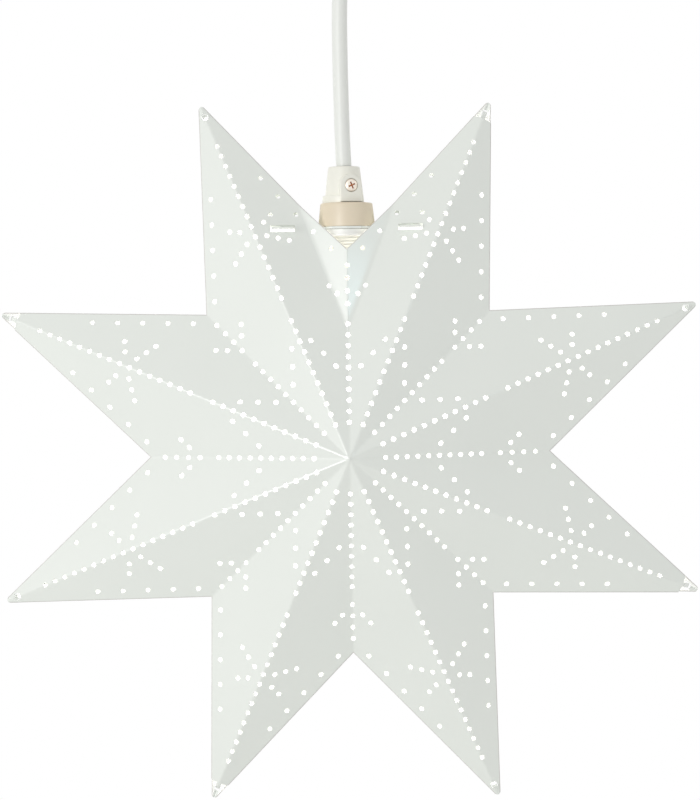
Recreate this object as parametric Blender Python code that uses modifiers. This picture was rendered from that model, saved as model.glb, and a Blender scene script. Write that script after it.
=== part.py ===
"""Eight-pointed star lamp of folded, perforated sheet steel, hanging by its cord.

The origin is on the ceiling, +Z is up, +X is to the right and the front of the star faces -Y.
Lengths are in metres. Heights of the lamp holder, the bulb and the cord's lower end are
measured from the middle of the slots in the pressings, where the holder's plate sits.
"""

import bpy
import bmesh
import math
from mathutils import Matrix, Vector
from mathutils.geometry import interpolate_bezier

# The hanging
HANG = 0.1951                 # ceiling to the slots of the star
GAP = 0.0003                  # what touching pieces keep between them
MERGE = 0.00001
OVERRUN = 0.002               # how far a cutter passes the wall it cuts

# The star's two equal pressings
POINTS = 8
TIP_SPAN = 0.352              # across the rounded ends of two opposite points
PEAK = 0.046                  # from the middle plane to the peak of one pressing
SHEET = 0.0005
TIP_APART = 0.0004            # from the middle plane to the sharp tip
TIP_ROUND = 0.0016

# The lamp holder springs the top notch of each pressing open
SPRUNG_OUT = 0.0042
SPRUNG_UP = 0.0026
SPRUNG_VALLEY = 0.0270        # how far down the valley the sheet gives
SPRUNG_RIM = 0.0280           # and how far along the rim

# Holes punched in the flat blank. Their places are shares of the ridge's length
HOLE_R = 0.0014
HOLE_SIDES = 4
STAR_ROW_HOLES = 3
STAR_ROW_PITCH_SHARE = 0.0445
STAR_ROW_FROM_SHARE = 0.2068  # along the valley
STAR_ROW_TO_SHARE = 0.3788    # along the ridge
RIM_HOLES = 5
RIM_PITCH_SHARE = 0.0646
RIM_IN_SHARE = 0.0255
RIM_FROM_NOTCH_SHARE = 0.0315
SNOW_AT_SHARE = 0.6235        # along the ridge
SNOW_PITCH_SHARE = 0.0288
SNOW_OUT_HOLES = 2
SNOW_OUT_FROM_SHARE = 0.0396
SNOW_IN_HOLES = 3
SNOW_IN_FROM_SHARE = 0.0331
CHEVRON_HOLES = 2
CHEVRON_AT_SHARE = 0.4026     # along the valley, on its first outer hole
CHEVRON_FROM_SHARE = 0.0374
CHEVRON_PITCH_SHARE = 0.0288

# Tips: a tongue of one pressing passes through the hole of the other
TIP_HOLE_R = 0.0018
TIP_HOLE_IN = 0.0053          # from the rounded end
TIP_HOLE_SIDES = 12
TIP_ROUND_STEPS = 4
TONGUE_W = 0.0022
TONGUE_ROOT_IN = 0.0084       # from the rounded end to the tongue's root
TONGUE_PAST = 0.0019          # past the far pressing

# Slots for the holder plate, placed by shares of the notches' radius
SLOT_W = 0.0110
SLOT_H = 0.0030
SLOT_X_SHARE = 0.3186
SLOT_Z_SHARE = 1.1290

# Holder plate
PLATE_Z = 0.0003
PLATE_T = 0.0010
TAB_SIDE_GAP = 0.0003
TAB_PAST = 0.0017             # how far a tab stands out of the sheet
PLATE_MID_X = 0.0094
PLATE_MID_Y = 0.0136
PLATE_SHOULDER_Y = 0.0094
PLATE_WAIST_X = 0.0153
PLATE_SHEET_GAP = 0.0006      # from the sheet's middle to the plate's long edge

# Lamp holder
SKIRT_R = 0.0114
SKIRT_LOW_Z = -0.0219
SKIRT_CHAMFER = 0.0008
SOCKET_R = 0.0073
SOCKET_TOP_Z = 0.0021
FLOOR_TOP_Z = 0.0041
COLLAR_TOP_Z = 0.0120
COLLAR_TOP_R = 0.0122
COLLAR_LOW_R = 0.0133
COLLAR_ROUND = 0.0008
CHAMBER_R = 0.0104
HOLDER_STEPS = 20
NUT_R = 0.0124
NUT_FLANGE_R = 0.0127
NUT_FLANGE_H = 0.0011
NUT_LOW_Z = -0.0036

# Cap with the cord grip
CAP_OFFSET = -0.0009          # the cap sits a little to the left on its catch
CAP_TOP_Z = 0.0290
CAP_TOP_R = 0.0074
CAP_LOW_R = 0.0093
CAP_WALL = 0.0014
CAP_ROUND = 0.0006
CAP_STEPS = 20
CORD_R = 0.0036
CORD_HOLE_R = 0.0042
BOSS_TURN = math.radians(21)  # from the front towards the right
BOSS_Z = 0.0199
BOSS_R = 0.0047
BOSS_OUT = 0.0096             # its face, from the cap's axis
BOSS_SUNK_R = 0.0033
BOSS_SUNK = 0.0010
CATCH_W = 0.0040
CATCH_T = 0.0005
CATCH_LOW_Z = 0.0125
CATCH_H = 0.0040
GRIP_SHANK_R = 0.0014
GRIP_HEAD_R = 0.0026
GRIP_HEAD_T = 0.0013
CROSS_W = 0.0007
CROSS_SPAN = 0.0036
CROSS_DEEP = 0.0007
CLAMP_W = 0.0050
CLAMP_H = 0.0044
CLAMP_T = 0.0014

# Cord inside the cap, and its cores
TAIL_LOW_Z = 0.0166
CORE_R = 0.0010
CORE_APART = 0.0016
CORE_DROP = 0.0016
TERMINAL_X = 0.0058

# Contacts
LEAF_W = 0.0030
LEAF_T = 0.0004
LEAF_R = 0.0072
LEAF_LOW_Z = -0.0149
LEAF_POCKET = 0.0004
FOOT_T = 0.0008
FOOT_IN_X = 0.0032
STRAP_W = 0.0060
SCREW_HEAD_R = 0.0019
SCREW_HEAD_T = 0.0014
SCREW_SHANK_R = 0.0010
SCREW_LONG = 0.0019
PLUNGER_HEAD_R = 0.0024
PLUNGER_HEAD_T = 0.0012
PLUNGER_STEM_R = 0.0009
PLUNGER_TOP_Z = 0.0086
SPRING_R = 0.0017
SPRING_WIRE_R = 0.0002
SPRING_TURNS = 3
SPRING_TURN_POINTS = 8

# Bulb
BULB_TIP_Z = -0.0025
TIP_DOME_R = 0.0024
TIP_DOME_H = 0.0010
INSULATOR_H = 0.0022
INSULATOR_TOP_R = 0.0042
BULB_CAP_R = 0.0069
BULB_CAP_T = 0.0003
BULB_THREAD_H = 0.0165
BULB_SKIRT_H = 0.0040
GLASS_R = 0.0175
GLASS_H = 0.0730
GLASS_T = 0.0006
GLASS_NECK_R = 0.0061
GLASS_IN_CAP = 0.0030
BULB_STEPS = 16
STEM_R = 0.0036
STEM_H = 0.0260
STEM_ROD_R = 0.0012
LEAD_R = 0.00025
LEAD_APART = 0.0058
FILAMENT_Z = -0.0659
FILAMENT_R = 0.0002
FILAMENT_SAG = 0.0040

# Ceiling fitting
CUP_R = 0.0380
CUP_BASE_R = 0.0150
CUP_H = 0.0480
CUP_WALL = 0.0012
CUP_CEILING_GAP = 0.0005
CUP_STEPS = 24
CUP_BEND_STEPS = 4
STRAP_CUP_GAP = 0.0028
STRAP_WIDE = 0.0180
STRAP_T = 0.0015
EAR_H = 0.0140
STRAP_SLOT_X = 0.0200
STRAP_SLOT_LONG = 0.0120
STRAP_SLOT_W = 0.0045
SIDE_SCREW_Z = 0.0090         # below the ceiling
SIDE_SCREW_R = 0.0014
SIDE_SCREW_HEAD_R = 0.0030
SIDE_SCREW_HEAD_T = 0.0020
SIDE_SCREW_FIT = 0.0003
BUSH_STEM_R = 0.0060
BUSH_THROAT_R = 0.0039
BUSH_MOUTH_R = 0.0070
BUSH_BELL_R = 0.0092
BUSH_BELL_H = 0.0100
BUSH_STEM_UP = 0.0080
BUSH_STEPS = 20
BUSH_NUT_R = 0.0095
BUSH_NUT_T = 0.0035
BUSH_NUT_SIDES = 6

# The cord's route above the cap: x from the star's axis, height above the slots
CORD_ROUTE = [(-0.0009, 0.0293), (-0.0013, 0.0401), (-0.0017, 0.0601), (-0.0019, 0.0801),
              (-0.0018, 0.1001), (-0.0011, 0.1171), (-0.0003, 0.1311), (0.0, 0.1421)]
CORD_SIDES_RES = 3

STRAP_HALF = CUP_R - CUP_WALL - STRAP_CUP_GAP

# Angles of the blank, an octagram whose edges pass two points by
HALF_STEP = math.pi / POINTS
TIP_HALF_ANGLE = HALF_STEP
NOTCH_SHARE = math.cos(3 * HALF_STEP) / math.cos(2 * HALF_STEP)


def clear_scene():
    for ob in list(bpy.data.objects):
        bpy.data.objects.remove(ob, do_unlink=True)


def new_collection(name):
    group = bpy.data.collections.new(name)
    bpy.context.scene.collection.children.link(group)
    return group


clear_scene()
LAMP = new_collection("star_lamp")
CUTTERS = new_collection("cutters")
SLOTS = Vector((0, 0, -HANG))


def material(name, colour, roughness, metallic=0.0, alpha=1.0):
    mat = bpy.data.materials.new(name)
    mat.use_nodes = True
    shader = mat.node_tree.nodes["Principled BSDF"]
    shader.inputs["Base Color"].default_value = (*colour, 1.0)
    shader.inputs["Roughness"].default_value = roughness
    shader.inputs["Metallic"].default_value = metallic
    shader.inputs["Alpha"].default_value = alpha
    return mat


LACQUER = material("white_lacquered_steel", (0.80, 0.82, 0.79), 0.22)
WARM_PLASTIC = material("ivory_holder_plastic", (0.72, 0.64, 0.50), 0.45)
CAP_PLASTIC = material("off_white_cap_plastic", (0.85, 0.85, 0.80), 0.40)
WHITE_PLASTIC = material("white_plastic", (0.86, 0.86, 0.84), 0.38)
CORD_PVC = material("white_cord_pvc", (0.78, 0.79, 0.77), 0.50)
COPPER = material("coppered_screw_steel", (0.72, 0.42, 0.28), 0.35, 1.0)
BRASS = material("brass", (0.78, 0.60, 0.28), 0.30, 1.0)
STEEL = material("zinc_plated_steel", (0.62, 0.63, 0.64), 0.35, 1.0)
NICKEL = material("nickelled_brass", (0.70, 0.68, 0.62), 0.28, 1.0)
BLACK_GLASS = material("black_glass_insulator", (0.03, 0.03, 0.04), 0.20)
CLEAR_GLASS = material("clear_bulb_glass", (0.95, 0.96, 0.96), 0.03, 0.0, 0.35)
TUNGSTEN = material("tungsten", (0.45, 0.43, 0.40), 0.40, 1.0)
SOLDER = material("solder", (0.58, 0.58, 0.60), 0.35, 1.0)
CORE_BROWN = material("brown_core_pvc", (0.20, 0.09, 0.04), 0.50)
CORE_BLUE = material("blue_core_pvc", (0.05, 0.16, 0.48), 0.50)


def add_object(name, mesh, mat, group=LAMP):
    ob = bpy.data.objects.new(name, mesh)
    group.objects.link(ob)
    if mat is not None:
        mesh.materials.clear()
        mesh.materials.append(mat)
    return ob


def add_cutter(name, mesh):
    ob = add_object(name, mesh, None, CUTTERS)
    ob.hide_render = True
    ob.display_type = 'WIRE'
    return ob


def smooth(ob, angle=math.radians(35)):
    ob.data.shade_smooth()
    ob.data.set_sharp_from_angle(angle=angle)


def mesh_from(bm, name):
    mesh = bpy.data.meshes.new(name)
    bm.to_mesh(mesh)
    bm.free()
    return mesh


def evaluated_mesh(ob, name):
    """The object's evaluated shape as a mesh of its own, its loose caps welded on."""
    deps = bpy.context.evaluated_depsgraph_get()
    mesh = bpy.data.meshes.new_from_object(ob.evaluated_get(deps))
    mesh.name = name
    bm = bmesh.new()
    bm.from_mesh(mesh)
    bmesh.ops.remove_doubles(bm, verts=bm.verts, dist=MERGE)
    bm.to_mesh(mesh)
    bm.free()
    return mesh


def cylinder_mesh(name, radius, length, sides, matrix, top_radius=None):
    bm = bmesh.new()
    bmesh.ops.create_cone(bm, cap_ends=True, segments=sides, radius1=radius,
                          radius2=radius if top_radius is None else top_radius,
                          depth=length, matrix=matrix)
    return mesh_from(bm, name)


def box_mesh(name, size, matrix):
    bm = bmesh.new()
    bmesh.ops.create_cube(bm, size=1, matrix=matrix @ Matrix.Diagonal((*size, 1)))
    return mesh_from(bm, name)


def turned(name, profile, steps, mat, at=SLOTS, ring=False):
    """A profile of (radius, height) pairs turned about the vertical through at.

    It runs down its outer side. A ring profile closes on itself, any other starts and ends
    on the axis."""
    mesh = bpy.data.meshes.new(name)
    count = len(profile)
    edges = [(i, i + 1) for i in range(count - 1)]
    if ring:
        edges.append((count - 1, 0))
    mesh.from_pydata([(r, 0, z) for r, z in profile], edges, [])
    ob = add_object(name, mesh, mat)
    ob.location = at
    screw = ob.modifiers.new("turn", 'SCREW')
    screw.axis = 'Z'
    screw.angle = math.tau
    screw.steps = steps
    screw.render_steps = steps
    screw.use_merge_vertices = True
    screw.merge_threshold = MERGE
    return ob


def fixed(ob):
    """Turns an object with modifiers into a plain mesh object at the same place."""
    bpy.context.view_layer.update()
    label, matrix, mat = ob.name, ob.matrix_world.copy(), ob.data.materials[0]
    mesh = evaluated_mesh(ob, label)
    bpy.data.objects.remove(ob, do_unlink=True)
    plain = add_object(label, mesh, mat)
    plain.matrix_world = matrix
    return plain


def cut(ob, cutter, operation='DIFFERENCE'):
    mod = ob.modifiers.new(cutter.name, 'BOOLEAN')
    mod.operation = operation
    mod.solver = 'EXACT'
    mod.object = cutter
    return ob


def outline_plate(name, outlines, thickness, matrix, mat):
    """A flat piece from closed outlines, the first its edge and the others its holes."""
    curve = bpy.data.curves.new(name, 'CURVE')
    curve.dimensions = '2D'
    curve.fill_mode = 'BOTH'
    curve.extrude = thickness / 2
    for points in outlines:
        spline = curve.splines.new('POLY')
        spline.points.add(len(points) - 1)
        for point, (x, y) in zip(spline.points, points):
            point.co = (x, y, 0, 1)
        spline.use_cyclic_u = True
    ob = bpy.data.objects.new(name, curve)
    LAMP.objects.link(ob)
    bpy.context.view_layer.update()
    mesh = evaluated_mesh(ob, name)
    bpy.data.objects.remove(ob, do_unlink=True)
    plate = add_object(name, mesh, mat)
    plate.matrix_world = matrix
    return plate


def tube(name, points, radius, resolution, mat, at=SLOTS):
    curve = bpy.data.curves.new(name, 'CURVE')
    curve.dimensions = '3D'
    curve.bevel_depth = radius
    curve.bevel_resolution = resolution
    curve.use_fill_caps = True
    spline = curve.splines.new('POLY')
    spline.points.add(len(points) - 1)
    for point, place in zip(spline.points, points):
        point.co = (*place, 1)
    ob = bpy.data.objects.new(name, curve)
    LAMP.objects.link(ob)
    ob.location = at
    curve.materials.append(mat)
    return ob


def smooth_route(points, spacing):
    """Points read at an even spacing from a smooth curve through the given ones."""
    fine = []
    last = len(points) - 1
    for i in range(last):
        before = points[max(i - 1, 0)]
        start, end = points[i], points[i + 1]
        after = points[min(i + 2, last)]
        out = start + (end - before) / 6
        back = end - (after - start) / 6
        fine.extend(interpolate_bezier(start, out, back, end, 12)[:-1])
    fine.append(points[-1])
    length = sum((b - a).length for a, b in zip(fine, fine[1:]))
    count = max(2, round(length / spacing))
    step = length / count
    route, travelled = [fine[0]], 0.0
    for a, b in zip(fine, fine[1:]):
        reach = (b - a).length
        while len(route) < count and travelled + reach >= step * len(route):
            route.append(a.lerp(b, (step * len(route) - travelled) / reach))
        travelled += reach
    route.append(fine[-1])
    return route


# The folded pressing

def circle_points(x, y, radius, sides, start=0.0):
    turn = math.tau / sides
    return [(x + radius * math.cos(start + turn * i), y + radius * math.sin(start + turn * i))
            for i in range(sides)]


def equal_area_radius(radius, sides):
    """Corner radius of a polygon as large in area as the round hole it stands for."""
    return radius * math.sqrt(math.tau / (sides * math.sin(math.tau / sides)))


SHARP_R = TIP_SPAN / 2 + TIP_ROUND * (1 / math.sin(TIP_HALF_ANGLE) - 1)
RIDGE_SLOPE = (PEAK - TIP_APART) / SHARP_R
# A flat blank keeps the half step between ridge and valley when it is folded
COS_STEP, SIN_STEP = math.cos(HALF_STEP), math.sin(HALF_STEP)
VALLEY_SLOPE = (RIDGE_SLOPE * COS_STEP * (1 + SIN_STEP * math.hypot(1, RIDGE_SLOPE))
                / (COS_STEP ** 2 - (RIDGE_SLOPE * SIN_STEP) ** 2))
RIDGE_LONG = SHARP_R * math.hypot(1, RIDGE_SLOPE)
VALLEY_LONG = RIDGE_LONG * NOTCH_SHARE
NOTCH_R = VALLEY_LONG / math.hypot(1, VALLEY_SLOPE)
SLOT_X = SLOT_X_SHARE * NOTCH_R
SLOT_Z = SLOT_Z_SHARE * NOTCH_R
STAR = SLOTS - Vector((0, 0, SLOT_Z))
ROUND_AT = RIDGE_LONG - TIP_ROUND / math.sin(TIP_HALF_ANGLE)
BLANK_END = ROUND_AT + TIP_ROUND
TIP_HOLE_AT = BLANK_END - TIP_HOLE_IN
TONGUE_ROOT = BLANK_END - TONGUE_ROOT_IN


def facet_axes():
    """Ridge direction, in-plane direction towards the valley, and the facet's normal."""
    ridge = Vector((1, RIDGE_SLOPE, 0)).normalized()
    valley = Vector((COS_STEP, VALLEY_SLOPE, SIN_STEP)).normalized()
    normal = ridge.cross(valley).normalized()
    across = normal.cross(ridge)
    return ridge, across, normal


RIDGE_AXIS, ACROSS_AXIS, FACET_NORMAL = facet_axes()
PEAK_POINT = Vector((0, -PEAK, 0))


def sheet_depth(x, z):
    """How far the front sheet's middle lies before the middle plane, next to the top valley."""
    turn = math.pi / 2 - HALF_STEP
    along = x * math.cos(turn) + z * math.sin(turn)
    aside = z * math.cos(turn) - x * math.sin(turn)
    n = FACET_NORMAL
    return PEAK + (n.x * along + n.z * aside) / n.y


def flat_place(x, z):
    """Where a point of the facet right of the top valley lies on the flat blank."""
    turn = math.pi / 2 - HALF_STEP
    along = x * math.cos(turn) + z * math.sin(turn)
    aside = z * math.cos(turn) - x * math.sin(turn)
    place = Vector((along, PEAK - sheet_depth(x, z), aside))
    return place.dot(RIDGE_AXIS), place.dot(ACROSS_AXIS)


def valley_place(along, aside):
    """A flat place given along the valley and from it towards the ridge."""
    return (along * COS_STEP + aside * SIN_STEP, along * SIN_STEP - aside * COS_STEP)


def rim_y(x):
    return (RIDGE_LONG - x) * math.tan(TIP_HALF_ANGLE)


def tip_outline(has_hole):
    """The blank's edge from the ridge round the point's end to its rim."""
    if not has_hole:
        half = TONGUE_W / 2
        return [(TONGUE_ROOT, 0), (TONGUE_ROOT, half), (TONGUE_ROOT, rim_y(TONGUE_ROOT))]
    points = []
    half_sides = TIP_HOLE_SIDES // 2
    for i in range(half_sides + 1):
        turn = math.pi * (1 - i / half_sides)
        points.append((TIP_HOLE_AT + TIP_HOLE_R * math.cos(turn), TIP_HOLE_R * math.sin(turn)))
    for i in range(TIP_ROUND_STEPS + 1):
        turn = (math.pi / 2 - TIP_HALF_ANGLE) * i / TIP_ROUND_STEPS
        points.append((ROUND_AT + TIP_ROUND * math.cos(turn), TIP_ROUND * math.sin(turn)))
    return points


def facet_hole_places():
    """Centres of the holes inside one facet, on the flat blank."""
    places = []
    start = Vector(valley_place(STAR_ROW_FROM_SHARE, 0))
    row = (Vector((STAR_ROW_TO_SHARE, 0)) - start).normalized()
    for i in range(STAR_ROW_HOLES):
        places.append(start + row * STAR_ROW_PITCH_SHARE * (i + 1))
    edge = Vector((math.cos(TIP_HALF_ANGLE), -math.sin(TIP_HALF_ANGLE)))
    inward = Vector((-math.sin(TIP_HALF_ANGLE), -math.cos(TIP_HALF_ANGLE)))
    notch = Vector(valley_place(NOTCH_SHARE, 0))
    for i in range(RIM_HOLES):
        reach = RIM_FROM_NOTCH_SHARE + RIM_PITCH_SHARE * i
        places.append(notch + inward * RIM_IN_SHARE + edge * reach)
    for count, first, turn in ((SNOW_OUT_HOLES, SNOW_OUT_FROM_SHARE, math.pi / 3),
                               (SNOW_IN_HOLES, SNOW_IN_FROM_SHARE, 2 * math.pi / 3)):
        for i in range(count):
            reach = first + SNOW_PITCH_SHARE * i
            places.append(Vector((SNOW_AT_SHARE + reach * math.cos(turn),
                                  reach * math.sin(turn))))
    diagonal = math.sqrt(0.5)
    for i in range(CHEVRON_HOLES):
        reach = (CHEVRON_FROM_SHARE + CHEVRON_PITCH_SHARE * i) * diagonal
        places.append(Vector(valley_place(CHEVRON_AT_SHARE + reach, reach)))
    return [place * RIDGE_LONG for place in places]


def slot_outline():
    corners = []
    for side_x, side_z in ((-1, -1), (1, -1), (1, 1), (-1, 1)):
        corners.append(flat_place(SLOT_X + side_x * SLOT_W / 2, SLOT_Z + side_z * SLOT_H / 2))
    return corners


def sprung_crease():
    """On the flat blank: a point of the crease where the sheet starts to give, the direction
    across it towards the notch, and the notch's distance from it."""
    notch = Vector(valley_place(VALLEY_LONG, 0))
    low = Vector(valley_place(VALLEY_LONG - SPRUNG_VALLEY, 0))
    edge = Vector((math.cos(TIP_HALF_ANGLE), -math.sin(TIP_HALF_ANGLE)))
    along = (notch + edge * SPRUNG_RIM - low).normalized()
    across = Vector((-along.y, along.x))
    return low, across, across.dot(notch - low)


def sprung_share(place):
    low, across, reach = sprung_crease()
    return across.dot(place.to_2d() - low) / reach


def crease_sheet(mesh):
    low, across, _ = sprung_crease()
    bm = bmesh.new()
    bm.from_mesh(mesh)
    bmesh.ops.bisect_plane(bm, geom=bm.verts[:] + bm.edges[:] + bm.faces[:], dist=MERGE,
                           plane_co=low.to_3d(), plane_no=across.to_3d())
    bm.to_mesh(mesh)
    bm.free()


def facet_mesh(has_hole, has_slot):
    """One facet of the blank as an open sheet, folded into its place beside the first ridge."""
    outline = [(0, 0)] + tip_outline(has_hole) + [valley_place(VALLEY_LONG, 0)]
    corner_r = equal_area_radius(HOLE_R, HOLE_SIDES)
    outlines = [outline]
    outlines += [circle_points(p.x, p.y, corner_r, HOLE_SIDES) for p in facet_hole_places()]
    if has_slot:
        outlines.append(slot_outline())
    flat = outline_plate("facet", outlines, 0, Matrix.Identity(4), LACQUER)
    mesh = flat.data
    bpy.data.objects.remove(flat, do_unlink=True)
    if has_slot:
        crease_sheet(mesh)
    sprung = [max(0.0, sprung_share(v.co)) if has_slot else 0.0 for v in mesh.vertices]
    fold = Matrix.Identity(4)
    for column, axis in enumerate((RIDGE_AXIS, ACROSS_AXIS, FACET_NORMAL, PEAK_POINT)):
        for row in range(3):
            fold[row][column] = axis[row]
    mesh.transform(fold)
    notch_way = Vector((COS_STEP, 0, SIN_STEP)) * SPRUNG_UP - Vector((0, SPRUNG_OUT, 0))
    for vert, share in zip(mesh.vertices, sprung):
        vert.co += notch_way * share
    return mesh


def tongue_reach():
    """From the tongue's root to the far pressing's hole, and on past it."""
    root = PEAK_POINT + RIDGE_AXIS * TONGUE_ROOT
    hole = PEAK_POINT + RIDGE_AXIS * TIP_HOLE_AT
    hole.y = -hole.y
    way = hole - root
    return way + way.normalized() * TONGUE_PAST


def add_tongue(bm, turn):
    """Draws the two shoulder edges beside a ridge out into the tongue."""
    root = turn @ (PEAK_POINT + RIDGE_AXIS * TONGUE_ROOT)
    near = [v for v in bm.verts if (v.co - root).length < TONGUE_W * 0.6]
    edges = [e for e in bm.edges if e.is_boundary and e.verts[0] in near and e.verts[1] in near]
    made = bmesh.ops.extrude_edge_only(bm, edges=edges)
    verts = [g for g in made["geom"] if isinstance(g, bmesh.types.BMVert)]
    bmesh.ops.translate(bm, verts=verts, vec=turn.to_3x3() @ tongue_reach())


def pressing_mesh():
    """The whole pressing: sixteen facets folded alike, tips with a hole and a tongue by turns."""
    facets = {(hole, slot): facet_mesh(hole, slot) for hole in (True, False)
              for slot in (True, False)}
    flip = Matrix.Diagonal((1, 1, -1, 1))
    bm = bmesh.new()
    turns = []
    for k in range(POINTS):
        turn = Matrix.Rotation(-HALF_STEP * (2 * k + 1), 4, 'Y')
        turns.append(turn)
        for side in (1, -1):
            beside_top = (k, side) in ((1, 1), (2, -1))
            mesh = facets[(k % 2 == 0, beside_top)].copy()
            mesh.transform(turn if side > 0 else turn @ flip)
            if side < 0:
                mesh.flip_normals()
            bm.from_mesh(mesh)
    bmesh.ops.remove_doubles(bm, verts=bm.verts, dist=MERGE * 2)
    for k in range(1, POINTS, 2):
        add_tongue(bm, turns[k])
    bmesh.ops.recalc_face_normals(bm, faces=bm.faces)
    peak_face = min(bm.faces, key=lambda f: f.calc_center_median().y)
    if peak_face.normal.y > 0:
        bmesh.ops.reverse_faces(bm, faces=bm.faces)
    return mesh_from(bm, "pressing")


def make_shells():
    mesh = pressing_mesh()
    for name, half_turn in (("front_shell", 0.0), ("back_shell", math.pi)):
        shell = add_object(name, mesh, LACQUER)
        shell.location = STAR
        shell.rotation_euler.z = half_turn
        solidify = shell.modifiers.new("sheet", 'SOLIDIFY')
        solidify.thickness = SHEET
        solidify.offset = 0
        solidify.use_even_offset = True
        solidify.use_quality_normals = True


# The plate that bridges the pressings and carries the holder

def plate_outline():
    """One quarter from the front, mirrored to all four."""
    tab_low = SLOT_X - SLOT_W / 2 + TAB_SIDE_GAP
    tab_high = SLOT_X + SLOT_W / 2 - TAB_SIDE_GAP

    height = SLOT_Z + PLATE_Z

    def beside(x):
        return sheet_depth(x, height) - PLATE_SHEET_GAP

    tab_end = sheet_depth(tab_high, height) + TAB_PAST
    front_right = [(PLATE_MID_X * COS_STEP ** 4, PLATE_MID_Y * COS_STEP),
                   (PLATE_MID_X, PLATE_SHOULDER_Y), (PLATE_WAIST_X, beside(PLATE_WAIST_X)),
                   (tab_low, beside(tab_low)), (tab_low, tab_end), (tab_high, tab_end),
                   (tab_high, beside(tab_low))]
    back_right = [(x, -y) for x, y in reversed(front_right)]
    right = [(0, PLATE_MID_Y)] + front_right + back_right + [(0, -PLATE_MID_Y)]
    return right + [(-x, y) for x, y in reversed(front_right + back_right)]


def make_plate():
    hole = circle_points(0, 0, SKIRT_R + GAP, HOLDER_STEPS)
    matrix = Matrix.Translation(SLOTS + Vector((0, 0, PLATE_Z)))
    outline_plate("holder_plate", [plate_outline(), hole], PLATE_T, matrix, LACQUER)


# Lamp holder: body, nut, contacts

def make_holder_body():
    low = PLATE_Z + PLATE_T / 2 + GAP
    profile = [(SKIRT_R, low), (SKIRT_R, SKIRT_LOW_Z + SKIRT_CHAMFER),
               (SKIRT_R - SKIRT_CHAMFER, SKIRT_LOW_Z), (SOCKET_R, SKIRT_LOW_Z),
               (SOCKET_R, SOCKET_TOP_Z), (PLUNGER_STEM_R + GAP, SOCKET_TOP_Z),
               (PLUNGER_STEM_R + GAP, FLOOR_TOP_Z), (CHAMBER_R, FLOOR_TOP_Z),
               (CHAMBER_R, COLLAR_TOP_Z), (COLLAR_TOP_R - COLLAR_ROUND, COLLAR_TOP_Z),
               (COLLAR_TOP_R, COLLAR_TOP_Z - COLLAR_ROUND),
               (COLLAR_LOW_R, low + COLLAR_ROUND), (COLLAR_LOW_R - COLLAR_ROUND, low)]
    body = fixed(turned("holder_body", profile, HOLDER_STEPS, WARM_PLASTIC, ring=True))
    pocket_out = LEAF_R + LEAF_T + LEAF_POCKET
    pocket_in = SOCKET_R - LEAF_POCKET
    pocket_low, pocket_high = SKIRT_LOW_Z - OVERRUN, FLOOR_TOP_Z + OVERRUN
    place = Matrix.Translation(SLOTS + Vector((-(pocket_out + pocket_in) / 2, 0,
                                               (pocket_low + pocket_high) / 2)))
    size = (pocket_out - pocket_in, LEAF_W + 2 * GAP, pocket_high - pocket_low)
    cut(body, add_cutter("leaf_pocket", box_mesh("leaf_pocket", size, place)))
    for side in (-1, 1):
        depth = OVERRUN + SCREW_LONG - FOOT_T - GAP
        centre = SLOTS + Vector((side * TERMINAL_X, 0, FLOOR_TOP_Z + OVERRUN - depth / 2))
        mesh = cylinder_mesh("screw_bore", SCREW_SHANK_R + GAP, depth, 8,
                             Matrix.Translation(centre))
        cut(body, add_cutter("screw_bore", mesh))
    smooth(body)


def make_nut():
    high = PLATE_Z - PLATE_T / 2 - GAP
    bore = SKIRT_R + GAP
    profile = [(NUT_R, high), (NUT_R, NUT_LOW_Z + NUT_FLANGE_H),
               (NUT_FLANGE_R, NUT_LOW_Z + NUT_FLANGE_H), (NUT_FLANGE_R, NUT_LOW_Z),
               (bore, NUT_LOW_Z), (bore, high)]
    turned("shade_nut", profile, HOLDER_STEPS, WHITE_PLASTIC, ring=True)


def make_terminals():
    foot_low = FLOOR_TOP_Z + GAP
    foot_high = foot_low + FOOT_T
    leaf_out = LEAF_R + LEAF_T
    leaf = [(-LEAF_R, LEAF_LOW_Z), (-LEAF_R, foot_low), (-FOOT_IN_X, foot_low),
            (-FOOT_IN_X, foot_high), (-leaf_out, foot_high), (-leaf_out, LEAF_LOW_Z)]
    upright = Matrix.Translation(SLOTS) @ Matrix.Rotation(math.pi / 2, 4, 'X')
    neutral = outline_plate("neutral_terminal", [leaf], LEAF_W, upright, BRASS)
    half = STRAP_W / 2
    strap = [(-FOOT_IN_X + LEAF_T, -half), (leaf_out, -half), (leaf_out, half),
             (-FOOT_IN_X + LEAF_T, half)]
    holes = [circle_points(0, 0, PLUNGER_STEM_R + GAP, 10),
             circle_points(TERMINAL_X, 0, SCREW_SHANK_R + GAP, 8)]
    flat = Matrix.Translation(SLOTS + Vector((0, 0, (foot_low + foot_high) / 2)))
    outline_plate("live_terminal", [strap] + holes, FOOT_T, flat, BRASS)
    bore = cylinder_mesh("foot_bore", SCREW_SHANK_R + GAP, FOOT_T + 2 * OVERRUN, 8,
                         Matrix.Translation(SLOTS + Vector((-TERMINAL_X, 0, foot_high))))
    cut(neutral, add_cutter("foot_bore", bore))


def make_terminal_screws():
    head_low = FLOOR_TOP_Z + GAP + FOOT_T + GAP
    head_high = head_low + SCREW_HEAD_T
    end = head_low - SCREW_LONG
    profile = [(0, head_high), (SCREW_HEAD_R, head_high), (SCREW_HEAD_R, head_low),
               (SCREW_SHANK_R, head_low), (SCREW_SHANK_R, end), (0, end)]
    for name, side in (("live_screw", 1), ("neutral_screw", -1)):
        at = SLOTS + Vector((side * TERMINAL_X, 0, 0))
        smooth(fixed(turned(name, profile, 10, STEEL, at=at)))


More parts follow.
